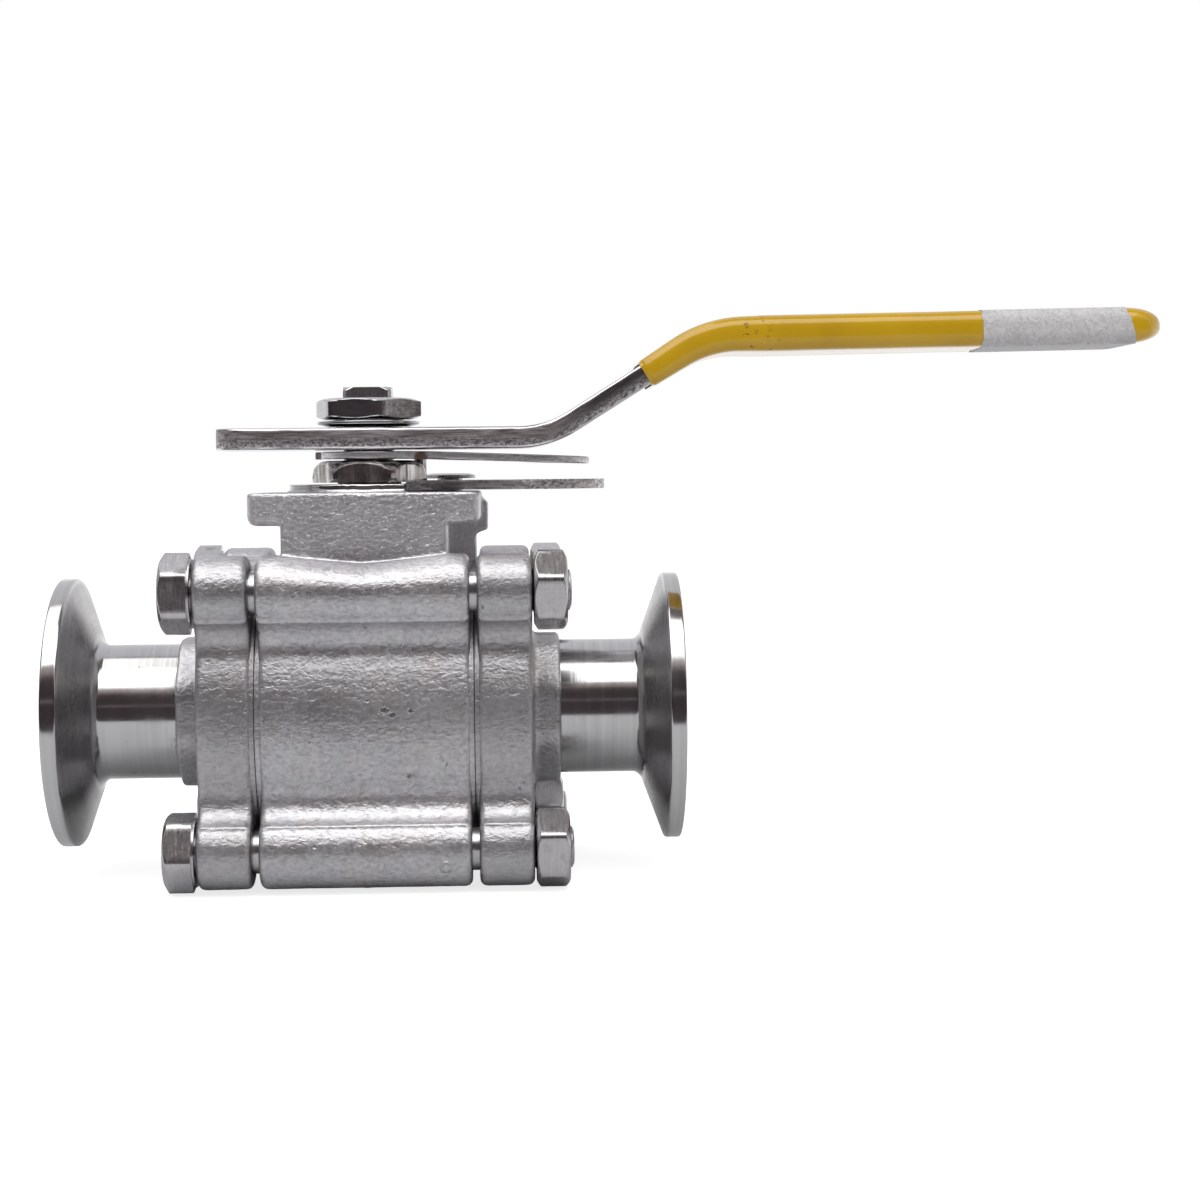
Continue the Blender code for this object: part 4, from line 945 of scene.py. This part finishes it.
def show_sleeve():
    """Dipped sleeve: a skin over the grip, open and ragged at its mouth, uneven along it."""
    half = LEVER_THICKNESS / 2 + GAP
    inner = []
    for s in spread(SLEEVE_START, LEVER_LENGTH, 60):
        side = lever_half_width(s) + GAP
        inner.append(strip_ring(s, rounded_rectangle(side, half, LEVER_EDGE + GAP, 8)))
    nose = SLEEVE_END - SLEEVE_NOSE
    stations = spread(SLEEVE_START, nose, 130)
    stations += [nose + SLEEVE_NOSE * sin(t) for t in spread(0, radians(86), 18)[1:]]
    outer = []
    for s in stations:
        mouth = max(0, 1 - (s - SLEEVE_START) / (0.9 * MM))
        shrink = 0.3 * MM * mouth**2 + LABEL_THICKNESS
        centre_x, centre_z, heading = follow(s)
        ring = []
        for x, y, z in strip_ring(s, sleeve_section(s, shrink)):
            place = Vector((x, y, z))
            sag = 0.08 * MM * (noise.noise(place / (9 * MM)) - 0.3)
            out = (place - Vector((centre_x, 0, centre_z))).normalized()
            ragged = Vector((cos(heading), 0, sin(heading)))
            ragged *= 0.5 * MM * mouth * noise.noise(place / (2.2 * MM))
            ring.append(place + out * min(sag, 0) + ragged)
        outer.append(ring)
    show("lever_sleeve", loft(inner[::-1] + outer), "yellow_vinyl")


def show_label():
    """Blank, wrinkled paper label wrapped round the grip, with torn and slanting edges."""
    first, last = [along_grip(x) for x in LABEL_X]
    steps = 12
    edges = []
    for side, up in sleeve_section(first, 0.0, steps):
        tear = 0.5 * MM * noise.noise(Vector((side, up, 0)) / (1.6 * MM))
        share = up / (SLEEVE_HEIGHT / 2)
        slant = 1.6 * MM * max(0, -share) * max(0, side / (LEVER_GRIP_WIDTH / 2))
        edges.append((first + tear + slant, last - 1.0 * MM * share + tear))
    rings = []
    for shrink, shares in ((0.01 * MM, spread(0, 1, 120)), (LABEL_THICKNESS, spread(1, 0, 120))):
        for share in shares:
            places = [start + (end - start) * share for start, end in edges]
            rings.append(
                [
                    strip_ring(s, sleeve_section(s, shrink, steps))[i]
                    for i, s in enumerate(places)
                ]
            )
    mesh = loft(rings, closed=True)
    add_piece("grip_label", mesh, "lever_sleeve", "seat_ptfe", "paper")


# Bolts and nuts


def lay_along_x(mesh, direction):
    """Turn a mesh drawn up Z so that it points along X, with a flat of its hexagon to -Y."""
    return rotated(rotated(mesh, pi / 6), direction * pi / 2, "Y")


def bolt_mesh(head_face, end):
    """Hexagon bolt drawn up Z: threaded shank below, washer face and chamfered head above."""
    collar = BOLT_FLATS / 2 * 0.96
    profile = [(-end, BOLT_RADIUS - 0.9 * MM)]
    level = -end + 0.35 * MM
    while level < -end + THREADED:
        crest = BOLT_RADIUS if len(profile) > 2 else BOLT_RADIUS - 0.25 * MM
        profile += [(level, crest), (level + THREAD_PITCH * 0.15, crest)]
        profile.append((level + THREAD_PITCH * 0.55, BOLT_RADIUS - THREAD_DEPTH))
        level += THREAD_PITCH
    head = head_face + BOLT_WASHER_FACE
    profile += [(level, BOLT_RADIUS), (head_face, BOLT_RADIUS), (head_face, collar), (head, collar)]
    rings = [circle("Z", z, radius, HEX_STEPS) for z, radius in profile]
    corner = hex_corner(BOLT_FLATS)
    rings.append(hex_ring(head, BOLT_FLATS, corner - 0.15 * MM))
    rings.append(hex_ring(head + 0.15 * MM, BOLT_FLATS, corner))
    return loft(rings + hexagon_end(head_face + BOLT_HEAD_HEIGHT, BOLT_FLATS, 1))


def show_bolts():
    """Four bolts through caps and body, heads to the left, and their nuts."""
    head_face, nut_end = span("body_nut_front_upper", "X")
    bolt = lay_along_x(bolt_mesh(head_face, high("body_bolt_front_upper", "X")), -1)
    nut = lay_along_x(hexagon_nut(head_face, nut_end, BOLT_FLATS, BOLT_HOLE_RADIUS), 1)
    for where, (y, z) in bolt_places().items():
        for kind, mesh, rolls in (("bolt", bolt, HEAD_ROLLS), ("nut", nut, NUT_ROLLS)):
            placed = rotated(mesh.copy(), radians(rolls[where]), "X")
            placed.transform(Matrix.Translation((0, y, z)))
            show(f"body_{kind}_{where}", placed, "machined_stainless")


# Finishes


def rgb(color):
    """A colour with full alpha."""
    return (*color, 1)


class Nodes:
    """Short calls that add nodes to a node tree."""

    def __init__(self, tree):
        self.tree = tree

    def plug(self, socket, value):
        """Give a socket a value, or link another socket to it."""
        if isinstance(value, bpy.types.NodeSocket):
            self.tree.links.new(value, socket)
        else:
            socket.default_value = value

    def node(self, kind, inputs, **settings):
        """Outputs of a new node whose inputs are values, or sockets of other nodes to link."""
        made = self.tree.nodes.new("ShaderNode" + kind)
        for key, value in settings.items():
            setattr(made, key, value)
        for key, value in inputs.items():
            self.plug(made.inputs[key], value)
        return made.outputs

    def maths(self, operation, *values):
        """Result of a Math node."""
        return self.node("Math", dict(enumerate(values)), operation=operation)[0]

    def times(self, one, two):
        """Product of two values."""
        return self.maths("MULTIPLY", one, two)

    def ramp(self, *values):
        """A value mapped from one range to another, or to 0 and 1, and held at its ends."""
        return self.node("MapRange", dict(enumerate(values)))[0]

    def blend(self, share, one, two):
        """Two colours mixed by a share."""
        return self.node("Mix", {0: share, 6: one, 7: two}, data_type="RGBA")[2]

    def parts(self, vector):
        """X, Y and Z of a vector."""
        return self.node("SeparateXYZ", {0: vector})

    def rays(self):
        """1 for glossy rays, and 1 for those of the camera, through glass too."""
        ray = self.node("LightPath", {})
        seen = self.maths("MAXIMUM", ray["Is Camera Ray"], ray["Is Transmission Ray"])
        return ray["Is Glossy Ray"], seen


class Finish(Nodes):
    """A material whose tone and normal are built up in layers over the place on the piece."""

    def __init__(self, name):
        self.material = bpy.data.materials.new(name)
        self.material.use_nodes = True
        super().__init__(self.material.node_tree)
        self.shader = self.tree.nodes["Principled BSDF"]
        self.place = self.node("TexCoord", {})["Object"]
        self.x, self.y, self.z = self.parts(self.place)
        self.tone = None
        self.normal = None

    def put(self, name, value):
        """Give an input of the shader a value, or link a socket to it."""
        self.plug(self.shader.inputs[name], value)

    def noise(self, scale, detail, roughness=0.55, distortion=0.0, place=None):
        """Fractal noise in 0 to 1, with one scale or one for each axis, in cycles per metre."""
        place = self.place if place is None else place
        if isinstance(scale, tuple):
            place = self.node("VectorMath", {0: place, 1: scale}, operation="MULTIPLY")[0]
            scale = 1.0
        inputs = {"Vector": place, "Scale": scale, "Detail": detail}
        inputs |= {"Roughness": roughness, "Distortion": distortion}
        return self.node("TexNoise", inputs)["Fac"]

    def away(self, middle):
        """Distance of each point from a fixed place."""
        return self.node("VectorMath", {0: self.place, 1: middle}, operation="DISTANCE")["Value"]

    def mixed(self, value, low_at, high_at, one, two):
        """One colour where a value is low and another where it is high."""
        return self.blend(self.ramp(value, low_at, high_at), rgb(one), rgb(two))

    def tint(self, share, color):
        """Lay a colour over the tone by a share."""
        self.tone = self.blend(share, self.tone, rgb(color))

    def bump(self, height, distance, strength=1.0):
        """Raise the surface by a height in 0 to 1 times a distance in metres."""
        inputs = {"Height": height, "Distance": distance, "Strength": strength}
        if self.normal is not None:
            inputs["Normal"] = self.normal
        self.normal = self.node("Bump", inputs)[0]

    def done(self, roughness, metallic=1.0):
        """The material, with its tone, normal and roughness in the shader."""
        self.put("Base Color", self.tone)
        self.put("Roughness", roughness)
        self.put("Metallic", metallic)
        self.put("Normal", self.normal)
        return self.material


def cast_stainless():
    """Bead-blasted casting: satin grey, fine wrinkled peel, pits, and a few darker stains. Shade is
    painted into the peel, the pits and the end caps, and light from 28 mm up towards the pad.
    """
    f = Finish("cast_stainless")
    cloud = f.noise(90, 4)
    f.tone = f.mixed(cloud, 0.3, 0.7, (0.555, 0.548, 0.57), (0.68, 0.673, 0.69))
    f.tint(f.ramp(f.noise(150, 3), 0.50, 0.70, 0.0, 0.8), (0.64, 0.605, 0.60))
    f.tint(f.ramp(f.noise(260, 5, 0.65), 0.66, 0.74, 0.0, 0.6), (0.32, 0.30, 0.305))
    peel = f.noise((1000, 1350, 1350), 3, 0.6, 0.5)
    # Painted shade and highlight: darker where the peel is low and lighter where it is high,
    # following its relief
    f.tint(f.ramp(peel, 0.50, 0.30, 0.0, 0.45), (0.30, 0.29, 0.30))
    f.tint(f.ramp(peel, 0.50, 0.70, 0.0, 0.40), (0.90, 0.895, 0.92))
    cells = f.node("TexVoronoi", {"Vector": f.place, "Scale": 420.0, "Randomness": 1.0})
    pit = f.ramp(cells["Distance"], 0.06, 0.20)
    rare = f.ramp(f.noise(130, 2), 0.60, 0.64)
    hole = f.times(rare, f.maths("SUBTRACT", 1.0, pit))
    for middle, reach in PITS:
        ragged = f.times(f.maths("SUBTRACT", peel, 0.5), 3.2 * reach)
        from_pit = f.maths("ADD", f.away(middle), ragged)
        hole = f.maths("MAXIMUM", hole, f.ramp(from_pit, 0.6 * reach, reach, 1.0, 0.0))
    from_ring = f.maths("ABSOLUTE", f.maths("SUBTRACT", f.away(RING_PLACE), RING_RADIUS))
    ring = f.ramp(from_ring, *RING_EDGE, 1.0, 0.0)
    # Painted shade: the pits are painted dark for the shade inside them
    f.tint(f.times(hole, 0.7), (0.12, 0.11, 0.11))
    # Painted shade: the end caps are painted darker than the centre body
    cap_shade = f.ramp(f.maths("ABSOLUTE", f.x), RIM_FACE - 0.1 * MM, RIM_FACE + 0.1 * MM, 0.0, 0.35)
    f.tint(cap_shade, (0.40, 0.392, 0.40))
    on_neck = f.ramp(f.z, *NECK_SKIN_AND_LIGHT)
    # Painted light: the casting is painted lighter from 28 mm up towards the pad; the peel is raised
    # there too
    f.tint(f.times(on_neck, 0.45), (0.88, 0.87, 0.90))
    faced = f.ramp(f.z, PAD_TOP + 0.15 * MM, PAD_TOP + 0.45 * MM)
    f.tint(faced, (0.74, 0.735, 0.74))
    depth = f.maths("SUBTRACT", 1.0, faced)
    f.bump(f.noise((520, 760, 760), 2, 0.5, 0.8), 0.10 * MM, depth)
    f.bump(peel, f.ramp(on_neck, 0, 1, 0.13 * MM, 0.26 * MM), depth)
    f.bump(f.noise(3200, 3, 0.7), 0.026 * MM, depth)
    f.bump(f.maths("SUBTRACT", 1.0, hole), 0.12 * MM, depth)
    f.bump(ring, RING_HEIGHT)
    rough = f.ramp(cloud, 0.25, 0.75, 0.36, 0.46)
    return f.done(f.maths("SUBTRACT", rough, f.times(faced, 0.24)))


def polished_stainless():
    """Turned and polished: fine rings left by the lathe, and faint smudges."""
    f = Finish("polished_stainless")
    radius = f.maths("SQRT", f.maths("ADD", f.times(f.y, f.y), f.times(f.z, f.z)))
    rings = f.node("CombineXYZ", {0: f.x, 1: radius, 2: 0.0})[0]
    lines = f.noise(5200, 4, 0.75, place=rings)
    wide = f.noise(700, 3, 0.6, place=rings)
    f.tone = f.mixed(wide, 0.3, 0.7, (0.55, 0.54, 0.54), (0.68, 0.675, 0.68))
    dull = f.ramp(radius, TUBE_RADIUS + 0.6 * MM, TUBE_RADIUS + 2.5 * MM, 0.0, 1.0)
    dull = f.times(dull, f.ramp(radius, *POLISHED_RIM, 1.0, 0.0))
    f.tint(f.times(dull, 0.55), (0.36, 0.345, 0.345))
    f.tint(f.times(f.ramp(f.noise(620, 3, 0.7), 0.68, 0.74), 0.7), (0.20, 0.17, 0.15))
    f.bump(lines, 0.010 * MM)
    f.bump(wide, 0.02 * MM)
    smudge = f.ramp(f.noise(120, 4), 0.4, 0.7, 0, 0.10)
    rough = f.maths("ADD", f.ramp(lines, 0.3, 0.7, 0.06, 0.15), smudge)
    return f.done(f.maths("ADD", rough, f.times(dull, 0.12)))


def machined_stainless():
    """Cold-formed bolts and nuts: satin, with fine streaks round them and small dents."""
    f = Finish("machined_stainless")
    streaks = f.noise((2600, 260, 260), 4, 0.7)
    f.tone = f.mixed(streaks, 0.3, 0.7, (0.54, 0.53, 0.55), (0.68, 0.665, 0.665))
    f.tint(f.ramp(f.noise(230, 3), 0.58, 0.72, 0.0, 0.6), (0.30, 0.28, 0.28))
    f.bump(streaks, 0.012 * MM)
    f.bump(f.noise(420, 3), 0.05 * MM)
    f.bump(f.noise(1700, 2), 0.012 * MM)
    return f.done(f.ramp(streaks, 0.3, 0.75, 0.20, 0.30))


def stamped_plate(name, on_lever):
    """Stamped plate: bright faces, streaked and torn dark sides, brown stains."""
    f = Finish(name)
    streak_place = f.place
    if on_lever:
        past = f.maths("MAXIMUM", f.maths("SUBTRACT", f.x, LEVER_BEND_X), 0.0)
        level = f.maths("SUBTRACT", f.z, LEVER_BOTTOM + LEVER_THICKNESS / 2)
        height = f.maths("SUBTRACT", level, f.times(past, tan(LEVER_SLOPE)))
        streak_place = f.node("CombineXYZ", {0: f.x, 1: f.y, 2: height})[0]
    streaks = f.noise((160, 900, 3800), 4, 0.7, place=streak_place)
    speckle = f.noise((1300, 1300, 2400), 4, 0.75, 0.6, streak_place)
    smooth = f.mixed(streaks, 0.35, 0.65, (0.20, 0.17, 0.175), (0.80, 0.735, 0.75))
    rough = f.mixed(speckle, 0.44, 0.58, (0.24, 0.21, 0.21), (0.86, 0.84, 0.85))
    if on_lever:
        on_slope = f.ramp(f.x, LEVER_BEND_X, LEVER_BEND_X + 9 * MM, 0.0, 0.8)
        smooth = f.blend(on_slope, smooth, rgb((0.07, 0.06, 0.065)))
        wander = f.times(f.maths("SUBTRACT", speckle, 0.5), 2.4 * MM)
        torn = f.ramp(f.maths("ADD", height, wander), 0.5 * MM, -0.9 * MM)
        side = f.blend(torn, smooth, rough)
    else:
        torn = f.ramp(f.noise(120, 3), 0.42, 0.62)
        side = f.blend(torn, smooth, rough)
        on_arm = f.ramp(f.z, ARM_LEVEL - MM, ARM_LEVEL, 0.0, 0.55)
        side = f.blend(on_arm, side, rgb((0.95, 0.94, 0.95)))
        # Painted shade: the lock plate's sides are painted dark near the hub, under the arm
        off_arm = f.ramp(f.z, ARM_LEVEL - MM, ARM_LEVEL, 0.7, 0.0)
        near_hub = f.ramp(f.x, 14 * MM, 27 * MM, 1.0, 0.0)
        side = f.blend(f.times(off_arm, near_hub), side, rgb((0.09, 0.085, 0.09)))
    facing = f.parts(f.node("TexCoord", {})["Normal"])
    sheared = f.ramp(f.maths("ABSOLUTE", facing["Z"]), 0.45, 0.25)
    faces = f.mixed(streaks, 0.3, 0.7, (0.54, 0.53, 0.54), (0.68, 0.67, 0.68))
    f.tone = f.blend(sheared, faces, side)
    rust = f.ramp(f.noise(240, 4, 0.7), 0.68, 0.76, 0.0, 0.8)
    near_rust = f.ramp(f.away(RUST_PLACE), *RUST_REACH, 0.9, 0.0)
    f.tint(f.maths("MAXIMUM", rust, near_rust), (0.20, 0.10, 0.06))
    f.bump(streaks, 0.014 * MM)
    f.bump(f.times(f.times(speckle, sheared), torn), 0.10 * MM)
    f.bump(f.noise(260, 3), 0.05 * MM)
    level = f.ramp(streaks, 0.3, 0.75, 0.12, 0.22)
    return f.done(f.maths("ADD", level, f.times(sheared, 0.28)))


def plated_steel():
    """The locking plates: their thin sides are torn in patches, with shade painted on the lock
    plate's sides near the hub.
    """
    return stamped_plate("plated_steel", False)


def lever_steel():
    """The lever: burnished along the upper part of its sides, torn along the lower part."""
    return stamped_plate("lever_steel", True)


def bright_plate():
    """Bright plated nut and washer, with small scratches and a few dull spots."""
    f = Finish("bright_plate")
    scratches = f.noise((500, 500, 2600), 4, 0.7)
    f.tone = f.mixed(scratches, 0.3, 0.7, (0.56, 0.56, 0.575), (0.70, 0.70, 0.71))
    f.tint(f.ramp(f.noise(900, 4, 0.7), 0.62, 0.70, 0.0, 0.6), (0.30, 0.28, 0.28))
    f.bump(f.noise(420, 3), 0.04 * MM)
    return f.done(f.ramp(scratches, 0.3, 0.75, 0.10, 0.22))


def burnished_steel():
    """Dark burnished steel with an oily film, and light vertical bands painted on as reflections."""
    f = Finish("burnished_steel")
    cloud = f.noise(330, 4, 0.65)
    f.tone = f.mixed(cloud, 0.3, 0.7, (0.34, 0.31, 0.30), (0.60, 0.565, 0.55))
    relief_and_reflection_bands = f.noise((300, 300, 30), 2, 0.5, 0.4)
    # Painted reflection: light vertical bands, which also give the bump below
    f.tint(f.ramp(relief_and_reflection_bands, 0.46, 0.58), (0.93, 0.90, 0.885))
    f.bump(relief_and_reflection_bands, 0.9 * MM)
    f.bump(f.noise(500, 3), 0.06 * MM)
    return f.done(f.ramp(cloud, 0.3, 0.7, 0.13, 0.24))


def yellow_vinyl():
    """Glossy dipped vinyl, with dark grime at the mouth and a few scuffs."""
    f = Finish("yellow_vinyl")
    f.tone = f.mixed(f.noise(60, 3), 0.3, 0.7, (0.49, 0.28, 0.0), (0.59, 0.35, 0.001))
    grit = f.ramp(f.noise(700, 4, 0.7), 0.60, 0.66)
    shares = [f.ramp(f.away(middle), 0.4 * reach, reach, 1.0, 0.0) for middle, reach in GRIME]
    for share in (*shares, f.ramp(f.noise(75, 2), 0.60, 0.66)):
        f.tint(f.times(grit, share), (0.09, 0.035, 0.012))
    f.put("Specular IOR Level", 0.35)
    f.put("Coat Weight", 0.8)
    f.put("Coat Roughness", 0.07)
    f.bump(f.noise(130, 3), 0.07 * MM)
    return f.done(0.25, 0.0)


def paper():
    """Blank paper label: worn, creased and a little grey, with shade painted along its creases."""
    f = Finish("paper")
    crumple = f.noise(330, 5, 0.62, 1.2)
    ridge = f.maths("ABSOLUTE", f.maths("SUBTRACT", crumple, 0.5))
    fibres = f.noise(1500, 4, 0.7)
    f.tone = f.mixed(fibres, 0.35, 0.65, (0.50, 0.485, 0.49), (0.62, 0.61, 0.62))
    # Painted shade: the creases are painted dark
    f.tint(f.ramp(ridge, 0.0, 0.025, 0.8, 0.0), (0.36, 0.34, 0.34))
    f.tint(f.ramp(f.noise(160, 3), 0.55, 0.70, 0.0, 0.6), (0.42, 0.40, 0.405))
    f.bump(ridge, 0.55 * MM)
    f.bump(fibres, 0.03 * MM)
    return f.done(0.55, 0.0)


def seat_ptfe():
    """White, waxy seat plastic."""
    f = Finish("seat_ptfe")
    f.tone = f.mixed(f.noise(180, 3), 0.3, 0.7, (0.80, 0.80, 0.77), (0.88, 0.88, 0.86))
    f.bump(f.noise(900, 2), 0.02 * MM)
    return f.done(0.45, 0.0)


def o_ring_rubber():
    """Black rubber."""
    f = Finish("o_ring_rubber")
    cloud = f.noise(400, 3)
    f.tone = f.blend(cloud, rgb((0.02, 0.02, 0.02)), rgb((0.05, 0.05, 0.05)))
    f.bump(cloud, 0.03 * MM)
    return f.done(0.6, 0.0)


FINISHES = {
    finish.__name__: finish()
    for finish in (
        cast_stainless,
        polished_stainless,
        machined_stainless,
        plated_steel,
        lever_steel,
        bright_plate,
        burnished_steel,
        yellow_vinyl,
        paper,
        seat_ptfe,
        o_ring_rubber,
    )
}

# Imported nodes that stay, hidden deep in the valve, by slot
KEPT_NODES = {
    "seat_ptfe": (
        "seat_left",
        "seat_right",
        "joint_gasket_left",
        "joint_gasket_right",
        "thrust_washer",
        "stem_packing",
    ),
    "o_ring_rubber": ("stem_o_ring",),
    "machined_stainless": ("gland_ring",),
    "burnished_steel": ("disc_spring_lower", "disc_spring_upper", "stop_pin"),
}


def finish_kept_nodes():
    """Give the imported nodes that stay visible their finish."""
    for slot, nodes in KEPT_NODES.items():
        for name in nodes:
            kept = frame["nodes"][name]
            kept.material_slots[0].material = FINISHES[slot]


# Camera, light and floor

CAMERA_PLACE = mm(25.3, -431.5, 43.4)
CAMERA_HEADING = atan(0.042)
CAMERA_PITCH = radians(3.09)
CAMERA_ROLL = radians(0.55)
CAMERA_LENS = 68.1
FLOOR_FRONT = -170.0 * MM
FLOOR_HALF_WIDTH = 4.0
FLOOR_DEPTH = 0.02


def make_camera():
    """Camera where the photographer stood, a little above the pipe's axis."""
    data = bpy.data.cameras.new("camera")
    camera = new_object("camera", data)
    data.lens = CAMERA_LENS
    data.sensor_width = 36.0
    data.clip_start = 0.01
    data.clip_end = 100.0
    level = Matrix.Rotation(-CAMERA_HEADING, 4, "Z")
    pitch = Matrix.Rotation(pi / 2 - CAMERA_PITCH, 4, "X")
    roll = Matrix.Rotation(-CAMERA_ROLL, 4, "Z")
    camera.matrix_world = Matrix.Translation(CAMERA_PLACE) @ level @ pitch @ roll
    bpy.context.scene.camera = camera


LAMP_HEIGHT = 0.9
LAMP_RADIANCE = 1.6

# Plain level of the room's light, and what metal sees by elevation in degrees: 0 is straight in
# front, 90 is overhead and 180 is straight behind
SKY = 0.72
ROOM = (
    (-180, (1.0, 1.0, 1.0)),
    (-150, (0.72, 0.72, 0.73)),
    (-60, (0.62, 0.62, 0.635)),
    (-13, (0.54, 0.54, 0.55)),
    (-10, (0.060, 0.048, 0.052)),
    (13, (0.050, 0.039, 0.043)),
    (15, (0.24, 0.21, 0.21)),
    (17, (0.050, 0.039, 0.043)),
    (35, (0.065, 0.048, 0.050)),
    (39, (0.33, 0.27, 0.26)),
    (46, (0.46, 0.41, 0.41)),
    (49, (1.0, 1.0, 1.0)),
    (82, (1.0, 1.0, 1.0)),
    (86, (0.16, 0.14, 0.13)),
    (106, (0.16, 0.14, 0.13)),
    (116, (0.66, 0.66, 0.69)),
    (160, (0.74, 0.74, 0.77)),
    (170, (1.0, 1.0, 1.0)),
    (180, (1.0, 1.0, 1.0)),
)


def make_world():
    """White to the camera; to metal, a bright ceiling, a dark room in front and white behind."""
    world = bpy.data.worlds.new("studio")
    bpy.context.scene.world = world
    world.use_nodes = True
    n = Nodes(world.node_tree)
    x, y, z = n.parts(n.node("TexCoord", {})["Generated"])
    elevation = n.maths("ARCTAN2", z, n.times(y, -1.0))
    turn = n.maths("ADD", n.maths("DIVIDE", elevation, 2 * pi), 0.5)
    shade = n.node("ValToRGB", {0: turn})[0]
    elements = shade.node.color_ramp.elements
    elements.remove(elements[1])
    elements[0].position = 0
    for index, (degrees, color) in enumerate(ROOM):
        element = elements[0] if index == 0 else elements.new((degrees + 180) / 360)
        element.color = rgb(color)
    aside = n.times(n.ramp(x, -0.75, -0.35, 0.42, 1.0), n.ramp(x, 0.35, 0.75, 1.0, 0.75))
    room = n.node("VectorMath", {0: shade, "Scale": aside}, operation="SCALE")[0]
    glossy, seen = n.rays()
    light = n.blend(glossy, rgb((SKY, SKY, SKY)), room)
    background = n.tree.nodes["Background"].inputs["Color"]
    n.plug(background, n.blend(seen, light, rgb((1, 1, 1))))


def make_lamp(name, corner, opposite):
    """A soft rectangular lamp that shines straight down."""
    width, depth = opposite[0] - corner[0], opposite[1] - corner[1]
    data = bpy.data.lights.new(name, "AREA")
    data.shape = "RECTANGLE"
    data.size = width
    data.size_y = depth
    data.energy = pi * LAMP_RADIANCE * width * depth
    middle = [(a + b) / 2 for a, b in zip(corner, opposite)]
    new_object(name, data).location = (*middle, LAMP_HEIGHT)


def make_floor():
    """Pale table that keeps the shadow and is white to the camera where it is lit."""
    half, bottom = FLOOR_HALF_WIDTH, CAD_BOX[0].z
    slab = block((-half, FLOOR_FRONT, bottom - FLOOR_DEPTH), (half, half, bottom))
    f = Finish("floor")
    f.put("Base Color", rgb((0.56, 0.56, 0.57)))
    f.put("Roughness", 0.9)
    f.put("Specular IOR Level", 0.1)
    glossy, seen = f.rays()
    behind = f.ramp(f.y, 0.04, 0.12, 0.0, 0.6)
    f.put("Emission Color", rgb((1, 1, 1)))
    f.put("Emission Strength", f.maths("ADD", f.times(seen, 0.76), f.times(glossy, behind)))
    slab.materials.append(f.material)
    new_object("floor", slab)


def main():
    make_camera()
    make_world()
    make_lamp("ceiling_front", (-0.8, -0.87), (0.8, -0.13))
    make_lamp("ceiling_left", (-0.9, -0.13), (-0.06, 0.29))
    make_floor()
    finish_kept_nodes()
    show_body()
    show_end_caps()
    show_ferrules()
    show_ball()
    show_gland_nut()
    show_lever_fastening()
    show_stem()
    show_lock_arm()
    show_lock_plate()
    show_lock_screw()
    show_lever()
    show_sleeve()
    show_label()
    show_bolts()
    bpy.context.scene.view_settings.view_transform = "Standard"


main()
